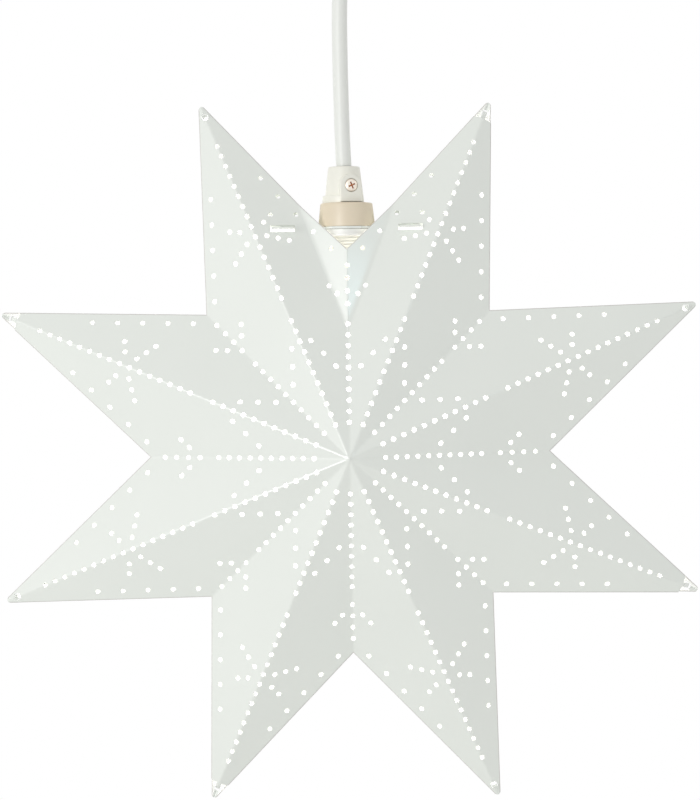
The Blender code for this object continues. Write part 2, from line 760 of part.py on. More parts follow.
def make_plunger():
    head_low = BULB_TIP_Z + GAP
    head_high = head_low + PLUNGER_HEAD_T
    profile = [(0, PLUNGER_TOP_Z), (PLUNGER_STEM_R, PLUNGER_TOP_Z), (PLUNGER_STEM_R, head_high),
               (PLUNGER_HEAD_R, head_high), (PLUNGER_HEAD_R, head_low), (0, head_low)]
    smooth(fixed(turned("contact_plunger", profile, 12, BRASS)))
    low = head_high + GAP + SPRING_WIRE_R
    high = SOCKET_TOP_Z - GAP - SPRING_WIRE_R
    count = SPRING_TURNS * SPRING_TURN_POINTS
    coil = []
    for i in range(count + 1):
        turn = math.tau * i / SPRING_TURN_POINTS
        coil.append((SPRING_R * math.cos(turn), SPRING_R * math.sin(turn),
                     low + (high - low) * i / count))
    tube("contact_spring", coil, SPRING_WIRE_R, 1, STEEL)


# Cap, cord grip and what is in the cap

def boss_matrix(out, z):
    """A frame on the cap's axis at height z whose Z points out through the boss."""
    axis = Matrix.Translation(SLOTS + Vector((CAP_OFFSET, 0, z)))
    return (axis @ Matrix.Rotation(BOSS_TURN, 4, 'Z') @ Matrix.Rotation(math.pi / 2, 4, 'X')
            @ Matrix.Translation((0, 0, out)))


def make_cap():
    low = COLLAR_TOP_Z + GAP
    inner_top = CAP_TOP_Z - CAP_WALL
    profile = [(CAP_TOP_R - CAP_ROUND, CAP_TOP_Z), (CAP_TOP_R, CAP_TOP_Z - CAP_ROUND),
               (CAP_LOW_R, low), (CAP_LOW_R - CAP_WALL, low), (CAP_TOP_R - CAP_WALL, inner_top),
               (CORD_HOLE_R, inner_top), (CORD_HOLE_R, CAP_TOP_Z)]
    at = SLOTS + Vector((CAP_OFFSET, 0, 0))
    cap = fixed(turned("cord_grip_cap", profile, CAP_STEPS, CAP_PLASTIC, at=at, ring=True))
    inner_r = CAP_TOP_R - CAP_WALL
    deep = BOSS_OUT - inner_r
    disc = cylinder_mesh("boss_disc", BOSS_R, deep, 20, boss_matrix(inner_r + deep / 2, BOSS_Z))
    cut(cap, add_cutter("boss_disc", disc), 'UNION')
    apron_high = BOSS_Z - low
    apron_at = boss_matrix(inner_r + deep / 2, low + apron_high / 2)
    apron = box_mesh("boss_apron", (2 * BOSS_R, apron_high, deep), apron_at)
    cut(cap, add_cutter("boss_apron", apron), 'UNION')
    catch_at = Matrix.Translation(SLOTS + Vector((CAP_OFFSET - CAP_LOW_R, 0,
                                                 CATCH_LOW_Z + CATCH_H / 2)))
    catch = box_mesh("catch", (2 * CATCH_T, CATCH_W, CATCH_H), catch_at)
    cut(cap, add_cutter("catch", catch), 'UNION')
    sunk_long = BOSS_SUNK + OVERRUN
    sunk = cylinder_mesh("boss_sink", BOSS_SUNK_R, sunk_long, 16,
                         boss_matrix(BOSS_OUT + OVERRUN - sunk_long / 2, BOSS_Z))
    cut(cap, add_cutter("boss_sink", sunk))
    bore_long = BOSS_OUT - inner_r + 2 * OVERRUN
    bore = cylinder_mesh("grip_bore", GRIP_SHANK_R + GAP, bore_long, 12,
                         boss_matrix(inner_r - OVERRUN + bore_long / 2, BOSS_Z))
    cut(cap, add_cutter("grip_bore", bore))
    room = cylinder_mesh("cord_room", CAP_TOP_R - CAP_WALL, inner_top - low + OVERRUN, CAP_STEPS,
                         Matrix.Translation(at + Vector((0, 0, (inner_top + low - OVERRUN) / 2))))
    cut(cap, add_cutter("cord_room", room))
    smooth(cap)


def make_grip_screw():
    head_low = BOSS_OUT - BOSS_SUNK + GAP
    shank_in = CORD_R + GAP + CLAMP_T + GAP
    head_high = head_low + GRIP_HEAD_T
    profile = [(0, head_high), (GRIP_HEAD_R - CAP_ROUND, head_high),
               (GRIP_HEAD_R, head_high - CAP_ROUND), (GRIP_HEAD_R, head_low),
               (GRIP_SHANK_R, head_low), (GRIP_SHANK_R, shank_in), (0, shank_in)]
    screw = fixed(turned("cord_grip_screw", profile, 16, COPPER, at=Vector((0, 0, 0))))
    screw.matrix_world = boss_matrix(0, BOSS_Z)
    for name, size in (("cross_wide", (CROSS_SPAN, CROSS_W, 2 * CROSS_DEEP)),
                       ("cross_high", (CROSS_W, CROSS_SPAN, 2 * CROSS_DEEP))):
        cross = add_cutter(name, box_mesh(name, size, boss_matrix(head_high, BOSS_Z)
                                          @ Matrix.Rotation(HALF_STEP, 4, 'Z')))
        cut(screw, cross)
    smooth(screw)


def make_clamp():
    near = CORD_R + GAP
    clamp = box_mesh("cord_clamp", (CLAMP_W, CLAMP_H, CLAMP_T),
                     boss_matrix(near + CLAMP_T / 2, BOSS_Z))
    add_object("cord_clamp", clamp, WHITE_PLASTIC)


def make_cord_end():
    at = SLOTS + Vector((CAP_OFFSET, 0, 0))
    high = CAP_TOP_Z
    turned("cord_tail", [(0, high), (CORD_R, high), (CORD_R, TAIL_LOW_Z), (0, TAIL_LOW_Z)],
           12, CORD_PVC, at=at)
    end_z = FLOOR_TOP_Z + GAP + FOOT_T + GAP + SCREW_HEAD_T + GAP + CORE_R
    for name, side, mat in (("core_live", 1, CORE_BROWN), ("core_neutral", -1, CORE_BLUE)):
        start = Vector((CAP_OFFSET + side * CORE_APART, 0, TAIL_LOW_Z - GAP))
        below = start - Vector((0, 0, CORE_DROP))
        end = Vector((side * TERMINAL_X, 0, end_z))
        over = end + Vector((-side * CORE_DROP, 0, CORE_DROP / 2))
        route = smooth_route([start, below, over, end], 2 * CORE_R)
        tube(name, route, CORE_R, 1, mat)


def make_cord():
    route = smooth_route([Vector((x, 0, z)) for x, z in CORD_ROUTE], 4.4 * CORD_R)
    tube("cord", route, CORD_R, CORD_SIDES_RES, CORD_PVC)


# Bulb

def glass_profile(radius, neck_r, high, low, count):
    """From the neck down over the belly to the pointed end."""
    tall = high - low
    belly = low + tall * 0.52
    neck = Vector((neck_r, high))
    widest = Vector((radius, belly))
    end = Vector((0, low))
    upper = interpolate_bezier(neck.to_3d(), Vector((neck_r, high - tall * 0.16, 0)),
                               Vector((radius, belly + tall * 0.20, 0)), widest.to_3d(), count)
    lower = interpolate_bezier(widest.to_3d(), Vector((radius, belly - tall * 0.28, 0)),
                               Vector((radius * 0.20, low + tall * 0.06, 0)), end.to_3d(), count)
    return [(p.x, p.y) for p in upper] + [(p.x, p.y) for p in lower[1:]]


def make_bulb():
    dome_low = BULB_TIP_Z - TIP_DOME_H
    turned("bulb_contact", [(0, BULB_TIP_Z), (TIP_DOME_R * math.cos(math.pi / 4),
                                              BULB_TIP_Z - TIP_DOME_H * 0.3),
                            (TIP_DOME_R, dome_low), (0, dome_low)], 12, SOLDER)
    ins_high = dome_low - GAP
    ins_low = ins_high - INSULATOR_H
    turned("bulb_insulator", [(0, ins_high), (INSULATOR_TOP_R, ins_high),
                              (BULB_CAP_R - BULB_CAP_T, ins_low), (0, ins_low)],
           BULB_STEPS, BLACK_GLASS)
    cap_high = ins_low - GAP
    cap_low = cap_high - BULB_THREAD_H - BULB_SKIRT_H
    inner = BULB_CAP_R - BULB_CAP_T
    turned("bulb_cap", [(BULB_CAP_R - BULB_CAP_T, cap_high), (BULB_CAP_R, cap_high - BULB_CAP_T),
                        (BULB_CAP_R, cap_low), (inner, cap_low), (inner, cap_high - BULB_CAP_T),
                        (0.5 * inner, cap_high - BULB_CAP_T), (0.5 * inner, cap_high)],
           BULB_STEPS, NICKEL, ring=True)
    neck_high = cap_low + GLASS_IN_CAP
    glass_low = neck_high - GLASS_H
    outer = glass_profile(GLASS_R, GLASS_NECK_R, neck_high, glass_low, 7)
    wall = glass_profile(GLASS_R - GLASS_T, GLASS_NECK_R - GLASS_T, neck_high,
                         glass_low + GLASS_T, 7)
    turned("bulb_glass", wall[::-1] + outer, BULB_STEPS, CLEAR_GLASS)
    stem_high = neck_high
    stem_low = neck_high - STEM_H
    stem_mid = neck_high - STEM_H / 2
    flare_r = GLASS_NECK_R - GLASS_T - GAP
    turned("bulb_stem", [(0, stem_high), (flare_r, stem_high), (flare_r, stem_high - GLASS_T),
                         (STEM_R, stem_high - STEM_R), (STEM_R * 0.7, stem_mid),
                         (STEM_ROD_R, stem_mid - STEM_ROD_R), (STEM_ROD_R, stem_low),
                         (0, stem_low)], 12, CLEAR_GLASS)
    make_leads(stem_mid - STEM_ROD_R)


def make_leads(root_z):
    """Two wires from the stem to the ends of the filament, which sags between them."""
    for name, side in (("bulb_lead_left", -1), ("bulb_lead_right", 1)):
        start = Vector((side * (STEM_ROD_R + GAP + LEAD_R), 0, root_z - GAP))
        end = Vector((side * LEAD_APART, 0, FILAMENT_Z))
        middle = Vector((side * LEAD_APART * 0.6, 0, (root_z + FILAMENT_Z) / 2))
        tube(name, smooth_route([start, middle, end], STEM_R), LEAD_R, 0, NICKEL)
    low = FILAMENT_Z - GAP - LEAD_R - FILAMENT_R
    points = []
    for i in range(9):
        share = i / 4 - 1
        points.append(Vector((share * LEAD_APART, 0, low - FILAMENT_SAG * (1 - share * share))))
    tube("bulb_filament", points, FILAMENT_R, 0, TUNGSTEN)


# Ceiling fitting

def make_ceiling_plate():
    half = STRAP_HALF
    drop = EAR_H
    outline = [(-half, 0), (half, 0), (half, -drop), (half - STRAP_T, -drop),
               (half - STRAP_T, -STRAP_T), (-half + STRAP_T, -STRAP_T),
               (-half + STRAP_T, -drop), (-half, -drop)]
    upright = Matrix.Rotation(math.pi / 2, 4, 'X')
    strap = outline_plate("ceiling_plate", [outline], STRAP_WIDE, upright, STEEL)
    for side in (-1, 1):
        centre = Matrix.Translation((side * STRAP_SLOT_X, 0, 0))
        size = (STRAP_SLOT_LONG, STRAP_SLOT_W, 2 * STRAP_T + 2 * OVERRUN)
        cut(strap, add_cutter("strap_slot", box_mesh("strap_slot", size, centre)))
        ear = (Matrix.Translation((side * half, 0, -SIDE_SCREW_Z))
               @ Matrix.Rotation(math.pi / 2, 4, 'Y'))
        bore = cylinder_mesh("ear_bore", SIDE_SCREW_R + SIDE_SCREW_FIT,
                             2 * STRAP_T + 2 * OVERRUN, 10, ear)
        cut(strap, add_cutter("ear_bore", bore))


def make_cup():
    top = -CUP_CEILING_GAP
    low = top - CUP_H
    wall = CUP_WALL
    bend = []
    for i in range(CUP_BEND_STEPS + 1):
        turn = math.pi / 2 * i / CUP_BEND_STEPS
        bend.append((math.cos(turn), math.sin(turn)))
    wide = CUP_R - CUP_BASE_R
    deep = CUP_H * 0.72
    outer = [(CUP_R, top)]
    outer += [(CUP_BASE_R + wide * c, low + deep * (1 - s)) for c, s in bend]
    inner = [(CUP_R - wall, top)]
    inner += [(CUP_BASE_R - wall + wide * c, low + wall + deep * (1 - s)) for c, s in bend]
    bore = BUSH_STEM_R + GAP
    profile = outer + [(bore, low), (bore, low + wall)] + inner[::-1]
    cup = fixed(turned("ceiling_cup", profile, CUP_STEPS, WHITE_PLASTIC, at=Vector((0, 0, 0)),
                       ring=True))
    for side in (-1, 1):
        at = (Matrix.Translation((side * CUP_R, 0, -SIDE_SCREW_Z))
              @ Matrix.Rotation(math.pi / 2, 4, 'Y'))
        bore_mesh = cylinder_mesh("cup_bore", SIDE_SCREW_R + SIDE_SCREW_FIT,
                                  4 * CUP_WALL + 2 * OVERRUN, 10, at)
        cut(cup, add_cutter("cup_bore", bore_mesh))
    smooth(cup)
    return low


def make_cup_screws():
    head_in = CUP_R + GAP
    end_in = STRAP_HALF - STRAP_T - OVERRUN
    head_out = head_in + SIDE_SCREW_HEAD_T
    profile = [(0, head_out), (SIDE_SCREW_HEAD_R * 0.7, head_out), (SIDE_SCREW_HEAD_R, head_in),
               (SIDE_SCREW_R, head_in), (SIDE_SCREW_R, end_in), (0, end_in)]
    for name, side in (("cup_screw_left", -1), ("cup_screw_right", 1)):
        screw = fixed(turned(name, profile, 12, STEEL, at=Vector((0, 0, 0))))
        screw.matrix_world = (Matrix.Translation((0, 0, -SIDE_SCREW_Z))
                              @ Matrix.Rotation(side * math.pi / 2, 4, 'Y'))
        smooth(screw)


def make_bush(cup_low):
    """Bell-mouthed bush: the cord hangs from its throat and can lean in its mouth."""
    flange_top = cup_low - GAP
    mouth = flange_top - BUSH_BELL_H
    throat = CORD_ROUTE[-1][1] - HANG
    stem_top = cup_low + CUP_WALL + BUSH_STEM_UP
    profile = [(BUSH_STEM_R, stem_top), (BUSH_STEM_R, flange_top), (BUSH_BELL_R, flange_top),
               (BUSH_BELL_R, mouth), (BUSH_MOUTH_R, mouth), (BUSH_THROAT_R, throat),
               (BUSH_THROAT_R, stem_top)]
    turned("ceiling_bush", profile, BUSH_STEPS, WHITE_PLASTIC, at=Vector((0, 0, 0)), ring=True)
    nut_low = cup_low + CUP_WALL + GAP
    corner = circle_points(0, 0, BUSH_NUT_R, BUSH_NUT_SIDES)
    bore = circle_points(0, 0, BUSH_STEM_R + GAP, BUSH_STEPS)
    outline_plate("bush_nut", [corner, bore], BUSH_NUT_T,
                  Matrix.Translation((0, 0, nut_low + BUSH_NUT_T / 2)), STEEL)


def parent_to(name, place, children):
    """Hangs pieces on an empty that stands on their joint's axis."""
    empty = bpy.data.objects.new(name, None)
    empty.location = place
    LAMP.objects.link(empty)
    bpy.context.view_layer.update()
    for label in children:
        child = LAMP.objects[label]
        child.parent = empty
        child.matrix_parent_inverse = empty.matrix_world.inverted()


def make_pivots():
    bulb = [ob.name for ob in LAMP.objects if ob.name.startswith("bulb_")]
    ceiling = ("ceiling_plate", "ceiling_cup", "cup_screw_left", "cup_screw_right",
               "ceiling_bush", "bush_nut")
    star = [ob.name for ob in LAMP.objects if ob.name not in (*bulb, *ceiling, "cord")]
    parent_to("cord_pivot", Vector((0, 0, CORD_ROUTE[-1][1] - HANG)), ["cord"])
    parent_to("twist_pivot", SLOTS + Vector((CAP_OFFSET, 0, CORD_ROUTE[0][1])), star)
    parent_to("bulb_pivot", SLOTS + Vector((0, 0, BULB_TIP_Z)), bulb)


def main():
    make_shells()
    make_plate()
    make_holder_body()
    make_nut()
    make_terminals()
    make_terminal_screws()
    make_plunger()
    make_cap()
    make_grip_screw()
    make_clamp()
    make_cord_end()
    make_cord()
    make_bulb()
    make_ceiling_plate()
    cup_low = make_cup()
    make_cup_screws()
    make_bush(cup_low)
    make_pivots()


main()
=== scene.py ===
"""Dresses the solids of the folded star lamp for a picture, and sets up its stage.

Lengths are in metres in the solids' own frame: the ceiling is at z = 0, +Z is up, +X is to the
right and the front of the star faces -Y.
"""

import math

import bmesh
import bpy
from bpy.props import FloatProperty, FloatVectorProperty, IntProperty, PointerProperty
from mathutils import Matrix, Vector
from mathutils.geometry import delaunay_2d_cdt, interpolate_bezier


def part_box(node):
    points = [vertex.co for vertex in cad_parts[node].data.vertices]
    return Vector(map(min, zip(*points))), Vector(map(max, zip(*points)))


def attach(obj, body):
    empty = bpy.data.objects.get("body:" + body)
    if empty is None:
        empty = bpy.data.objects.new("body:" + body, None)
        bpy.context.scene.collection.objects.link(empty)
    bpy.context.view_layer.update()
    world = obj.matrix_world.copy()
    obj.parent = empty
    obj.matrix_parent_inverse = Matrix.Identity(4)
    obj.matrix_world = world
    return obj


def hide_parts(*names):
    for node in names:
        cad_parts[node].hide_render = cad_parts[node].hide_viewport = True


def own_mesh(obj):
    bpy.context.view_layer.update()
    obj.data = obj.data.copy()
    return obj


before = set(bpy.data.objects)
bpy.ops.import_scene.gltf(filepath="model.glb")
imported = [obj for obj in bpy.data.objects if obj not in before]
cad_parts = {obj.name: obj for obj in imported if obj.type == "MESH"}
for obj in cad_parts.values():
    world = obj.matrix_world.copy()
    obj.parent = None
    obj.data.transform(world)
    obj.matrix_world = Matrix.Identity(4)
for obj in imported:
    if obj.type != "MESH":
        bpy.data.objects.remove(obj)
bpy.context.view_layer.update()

bl_info = {
    "name": "Folded star lamp",
    "version": (1, 0, 0),
    "blender": (4, 5, 0),
    "location": "View3D > Sidebar > Star lamp",
    "description": "Builds the finished pieces of a folded, perforated star lamp and its stage",
    "category": "Object",
}

WELD = 0.00001
GAP = 0.0003                  # what touching pieces keep between them
OVERRUN = 0.002               # how far a cutter passes the wall it cuts
ORIGIN = Vector((0, 0, 0))
POINTS = 8
HALF_STEP = math.pi / POINTS
COS_STEP, SIN_STEP = math.cos(HALF_STEP), math.sin(HALF_STEP)
NOTCH_SHARE = math.cos(3 * HALF_STEP) / math.cos(2 * HALF_STEP)

# The holes of one facet of the blank, as shares of the ridge's length. Rows on a fold are
# (first, pitch, count) along it
RIDGE_ROWS = ((0.0918, 0.02859, 11), (0.4407, 0.02874, 16))
VALLEY_ROWS = ((0.0932, 0.02868, 10), (0.4026, 0.0323, 4))
STAR_ROW = (0.2068, 0.3788, 0.0445, 3)
RIM_ROW = (0.0255, 0.0315, 0.0646, 5)
SNOW_AT = 0.6235
SNOW_ARMS = ((math.pi / 3, 0.0396, 0.0288, 2), (2 * math.pi / 3, 0.0331, 0.0288, 3))
CHEVRON = (0.4026, 0.0374, 0.0288, 2)

RIM_ROUND = 0.0005            # how wide the lacquer rounds the cut rim
RIM_FALL = 0.75               # and how steeply it falls away there
RIM_PAINTED_SHADE = (0.0002, 0.0005)   # where the painted shade on the cut rim starts to fade, and where it is gone
TIP_APART = 0.0004            # from the middle plane to the sharp tip
TIP_ROUND = 0.0016
TIP_HOLE_IN = 0.0053
TONGUE_WIDE = 0.0022
TONGUE_ROOT_IN = 0.0084
TONGUE_PAST = 0.0019
SLOT_WIDE = 0.0110
SLOT_HIGH = 0.0030
SLOT_X_SHARE = 0.3186
SLOT_Z_SHARE = 1.1290
SPRUNG_VALLEY = 0.0400
SPRUNG_RIM = 0.0345
SPRUNG_CUTS = 9
SPRUNG_SOFT_SHARE = 0.003     # how round the crease is, against the sprung part
PLACES = "fold_places"        # the attribute that says how far a point is from its folds
FADE_OUT = {"To Min": 1.0, "To Max": 0.0}   # for a map that falls from full to nothing

# Heights of the holder and its cap above the middle of the pressings' slots
SLOTS = Vector((0, 0, -0.1951))
SOCKET_R = 0.0073
CHAMBER_R = 0.0104
SOCKET_TOP_Z = 0.0021
FLOOR_TOP_Z = 0.0041
PLUNGER_BORE_R = 0.0012
LEAF_WAY = (0.0069, 0.0080, 0.0036)   # nearest and furthest from the axis, and how wide
COLLAR_LOW_Z = 0.0009
COLLAR_TOP_R = 0.0122
SKIRT_R = 0.0114
NUT_RAISED = 0.0002
NUT_LIP_SHARE = 0.36
TERMINAL_X = 0.0058
SCREW_BORE_R = 0.0013
CAP_X = -0.0009
CAP_TOP_R = 0.0074
CAP_LOW_R = 0.0093
CAP_WALL = 0.0014
CORD_HOLE_R = 0.0042
BOSS_TURN = math.radians(21)
BOSS_Z = 0.0199
BOSS_R = 0.0053
BOSS_OUT = 0.0096
BOSS_SUNK_R = 0.00315
BOSS_SUNK = 0.0010
GRIP_SHANK_R = 0.0014
GRIP_HEAD_R = 0.0030
GRIP_HEAD_T = 0.0013
GRIP_IN = 0.0056
GRIP_CROSS = 0.0034
GRIP_CROSS_WIDE = 0.0007      # and as deep
COPPER_DOWN = 0.00025         # how far below the head's top its copper shows
CATCH_OUT = 0.0010
CATCH_HIGH = 0.0035
CATCH_WAY = (math.radians(166), math.radians(262))
CATCH_MID_Z = 0.0136

# The contact's spring, the bulb and its light
SPRING_WIRE_R = 0.0002
SPRING_TURNS = 3
SPRING_STEPS = 24             # to a turn
EVEN_AT = 0.075               # where the bulb's even light is as strong as a bare lamp's
FADE = (0.20, 0.30)           # how far from the bulb it fades away
FLAME_R = 0.010               # how large the bulb's own light is
GLASS_WALL = 0.0006
GLASS_NECK_R = 0.0061
BULB_CAP_SHOULDER = 0.0010
BULB_CAP_PLAIN = 0.0040       # the stretch without thread at its lower end
CROWN_R = 0.0045

# The ceiling cup, its side screws and its bush
CUP_BASE_R = 0.0150
CUP_BORE_R = 0.0063
CUP_DOME_SHARE = 0.7273
CUP_SCREW_Z = -0.0090
CUP_SCREW_BORE_R = 0.0017
CUP_SCREW_SHANK_R = 0.0014
CUP_SCREW_HEAD_T = 0.0020
CUP_SCREW_SLOT = (0.0008, 0.0016)     # its width, and twice its depth
BUSH_NECK_R = 0.0060
BUSH_MOUTH_R = 0.0070
BUSH_THROAT_R = 0.0039

# The cord's route above the cap: x from the star's axis, height above the slots
CORD_STEP = 0.0025            # between the points that it is made of
CORD_ROUTE = ((-0.0009, 0.0293), (-0.0013, 0.0401), (-0.0017, 0.0601), (-0.0019, 0.0801),
              (-0.0018, 0.1001), (-0.0011, 0.1171), (-0.0003, 0.1311), (0.0, 0.1421))


def linear(code):
    """A colour written as sRGB hex, in the linear values that shaders take."""
    shares = [int(code[i:i + 2], 16) / 255 for i in (0, 2, 4)]
    return [c / 12.92 if c <= 0.04045 else ((c + 0.055) / 1.055) ** 2.4 for c in shares]


def number(name, description, default, **rest):
    return FloatProperty(name=name, description=description, default=default, **rest)


def length(name, description, default):
    return number(name, description, default, min=0, precision=5, unit='LENGTH')


def colour(name, description, code):
    return FloatVectorProperty(name=name, description=description, default=linear(code),
                               subtype='COLOR', size=3, min=0, max=1)


class PressingSettings(bpy.types.PropertyGroup):
    tip_span: length("Tip span", "Across the rounded ends of two opposite points", 0.352)
    peak: length("Peak", "From the middle plane to the peak of one pressing", 0.046)
    sheet: length("Sheet", "Thickness of the sheet steel", 0.0005)
    hole: length("Hole", "Diameter of the punched holes", 0.0023)
    tip_hole: length("Tip hole", "Diameter of the hole that takes a tongue", 0.0036)
    sprung_out: length("Sprung out", "How far the holder springs the top notch forward", 0.0070)
    sprung_up: length("Sprung up", "How far the holder springs the top notch up", 0.0021)
    fold: length("Fold", "Half the width of a fold's rounding", 0.0008)
    lacquer: colour("Lacquer", "Colour of the gloss lacquer", "F1F5EF")
    # Painted shade: the darker rim colour stands in for the shadow on the sheet's cut edge
    edge: colour("Sheared edge", "Colour of the sheet's cut edge under thin lacquer", "DEDCD7")


class HolderSettings(bpy.types.PropertyGroup):
    thread_pitch: length("Thread pitch", "Of the skirt that carries the ring nut", 0.0015)
    thread_depth: length("Thread depth", "From crest to root", 0.0003)
    body: colour("Body", "Colour of the holder's collar", "EDDFC6")
    # Painted light: the skirt is the collar's plastic, drawn paler for the bulb's light that falls on
    # it
    skirt: colour("Skirt", "Colour of the threaded skirt, paler than the collar", "F4F3E8")
    nut: colour("Ring nut", "Colour of the ring nut", "FAFAF6")
    cap: colour("Cap", "Colour of the cap over the terminals", "FAF9EE")
    screw: colour("Grip screw", "Colour of the cord grip's screw head", "F3E9DC")
    recess: colour("Screw recess", "Copper plate bared in the screw's cross", "A9663F")


class CordSettings(bpy.types.PropertyGroup):
    diameter: length("Diameter", "Outer diameter of the cord", 0.0072)
    jacket: colour("Jacket", "Colour of the outer jacket", "F4F6F1")


class BulbSettings(bpy.types.PropertyGroup):
    thread_pitch: length("Cap pitch", "Pitch of the small screw cap", 0.00282)
    thread_depth: length("Cap thread depth", "From crest to root", 0.0006)
    light: number("Light", "Power of the lamp inside the bulb", 0.32, min=0, unit='POWER')
    glow: colour("Glow", "Colour of the bulb's light", "FFF4F9")


class CeilingSettings(bpy.types.PropertyGroup):
    wall: length("Cup wall", "Thickness of the cup's wall", 0.0012)
    cup: colour("Cup", "Colour of the ceiling cup and its bush", "F0F0EC")
    steps: IntProperty(name="Cup steps", description="Faces round the cup", default=96, min=24)


class StageSettings(bpy.types.PropertyGroup):
    distance: length("Camera distance", "From the star's centre", 1.0)
    azimuth: number("Azimuth", "Camera to the right of the front", math.radians(0.371), subtype='ANGLE')
    elevation: number("Elevation", "Camera above the star's centre", math.radians(3.530),
                      subtype='ANGLE')
    lens: number("Lens", "Focal length for a 36 mm sensor", 95.64, unit='CAMERA')
    key_power: number("Key light", "Power of the window-like light", 7.0, unit='POWER')
    glint: number("Glint", "Power of the panel that folds reflect", 10.0, min=0, unit='POWER')
    ambient: number("Ambient", "Light from all round", 0.66)
    floor_drop: length("Floor", "How far the floor lies below the ceiling", 0.62)
    floor_radius: length("Floor radius", "Radius of the pale floor", 0.5)
    floor: colour("Floor colour", "Colour of the floor", "F4F4F2")


# Materials

def wire(node, links):
    """Links a node's sockets to outputs, or to the first output of the nodes given."""
    for socket, source in links.items():
        if isinstance(source, bpy.types.Node):
            source = source.outputs[0]
        node.id_data.links.new(source, node.inputs[socket])


def add_node(tree, kind, values=None, links=None, **settings):
    """One node with its settings, the values of its sockets and what is linked to them."""
    node = tree.nodes.new("ShaderNode" + kind)
    for name, value in settings.items():
        setattr(node, name, value)
    for socket, value in (values or {}).items():
        node.inputs[socket].default_value = value
    wire(node, links or {})
    return node


def new_finish(name, base, values):
    """A material whose shader holds its own constant values, with its texture place."""
    mat = bpy.data.materials.new(name)
    mat.use_nodes = True
    shader = mat.node_tree.nodes["Principled BSDF"]
    shader.inputs["Base Color"].default_value = (*base, 1)
    for socket, value in values.items():
        shader.inputs[socket].default_value = value
    return mat, mat.node_tree, shader, add_node(mat.node_tree, "TexCoord").outputs["Object"]


def lay_over(tree, shader, top, factor):
    """Lays a second colour over the base colour that a shader already has, by a factor."""
    under = shader.inputs["Base Color"]
    values, links = {6: under.default_value, 7: (*top, 1)}, {0: factor}
    if under.links:
        links[6] = under.links[0].from_socket
    body = add_node(tree, "Mix", values, links, data_type='RGBA')
    wire(shader, {"Base Color": body.outputs[2]})


def grained(name, base, values, size, detail, strength, deep, stretch=None, share=None):
    """A material with one fine pattern of a real size that bumps it, and that makes its base
    colour vary towards a darker share of itself."""
    mat, tree, shader, place = new_finish(name, base, values)
    scale = 1 / size
    if stretch:
        place = add_node(tree, "Mapping", {"Scale": [s / size for s in stretch]}, {"Vector": place})
        scale = 1.0
    pattern = add_node(tree, "TexNoise", {"Scale": scale, "Detail": detail}, {"Vector": place})
    bump = add_node(tree, "Bump", {"Strength": strength, "Distance": deep}, {"Height": pattern})
    wire(shader, {"Normal": bump})
    if share:
        lay_over(tree, shader, [c * share for c in base], pattern)
    return mat, tree, shader, place, pattern, bump


def lacquered_steel(name, settings):
    """Sheet steel, spray lacquered: gloss over a faint orange peel and sheet that waves."""
    gloss = {"Roughness": 0.24, "Specular IOR Level": 0.5, "Coat Weight": 0.35, "Coat Roughness": 0.09}
    mat, tree, shader, place, _, slow = grained(
        name, settings.lacquer, gloss, 0.045, 1.0, 0.5, 0.0010, share=0.965)
    # Orange peel is about 1.6 mm from swell to swell
    peel = add_node(tree, "TexNoise", {"Scale": 1 / 0.0016, "Detail": 2.0}, {"Vector": place})
    fine = add_node(tree, "Bump", {"Strength": 0.12, "Distance": 0.00006},
                    {"Height": peel, "Normal": slow})
    wire(shader, {"Normal": fine})
    return mat, tree, shader, slow


def folded_steel(settings, ridge_fall, valley_fall):
    """The lacquer on a folded blank: soft round folds, and painted shade along its cut rim."""
    mat, tree, shader, slow = lacquered_steel("gloss_lacquered_folded_steel", settings)
    places = add_node(tree, "Attribute", attribute_name=PLACES)
    away = add_node(tree, "SeparateXYZ", {}, {0: places.outputs["Vector"]}).outputs
    height = None
    for distance, wide, fall in ((away[0], settings.fold, -ridge_fall),
                                 (away[1], settings.fold, valley_fall),
                                 (away[2], RIM_ROUND, -RIM_FALL)):
        inside = add_node(tree, "MapRange", {"From Max": wide, **FADE_OUT}, {"Value": distance})
        square = add_node(tree, "Math", {1: 2.0}, {0: inside}, operation='POWER')
        links = {0: square, 2: height} if height else {0: square}
        height = add_node(tree, "Math", {1: fall * wide / 2, 2: 0.0}, links, operation='MULTIPLY_ADD')
    fold = add_node(tree, "Bump", {"Strength": 1.0, "Distance": 1.0}, {"Height": height})
    wire(slow, {"Normal": fold})
    # Painted shade: a thin band along the cut rim is darkened, where the sheet's edge lies in shadow
    painted_rim_shade = add_node(tree, "MapRange", {"From Min": RIM_PAINTED_SHADE[0], "From Max": RIM_PAINTED_SHADE[1], **FADE_OUT},
                       {"Value": away[2]})
    lay_over(tree, shader, settings.edge, painted_rim_shade)
    return mat


def moulded_plastic(name, base, roughness, grain):
    """Injection-moulded polyamide or polyester: satin, with the tool's fine spark grain."""
    mat, tree, shader, place, _, bump = grained(
        name, base, {"Roughness": roughness, "IOR": 1.53}, grain, 3.0, 0.25, 0.00003)
    wire(bump, {"Normal": add_node(tree, "Bevel", {"Radius": 0.0002}, samples=4)})
    flow = add_node(tree, "TexNoise", {"Scale": 1 / 0.012, "Detail": 2.0}, {"Vector": place})
    lay_over(tree, shader, [c * 0.94 for c in base], flow)
    return mat


def extruded_vinyl(name, base):
    """Extruded soft vinyl: satin, with faint lines drawn along it by the die."""
    return grained(name, base, {"Roughness": 0.42, "IOR": 1.53}, 0.0006, 2.0, 0.3, 0.00004,
                   (1, 1, 0.1), 0.93)[0]


def plated_metal(name, base, roughness, grain, stretch=(1, 1, 1), deep=0.00002):
    """Drawn or turned metal with a bright plate: fine tool lines and uneven brightness."""
    mat, tree, shader, _, lines, _ = grained(
        name, base, {"Roughness": roughness, "Metallic": 1.0}, grain, 4.0, 0.4, deep, stretch, 0.82)
    rough = add_node(tree, "MapRange", {"To Min": roughness * 0.75, "To Max": roughness * 1.35},
                     {"Value": lines})
    wire(shader, {"Roughness": rough})
    return mat


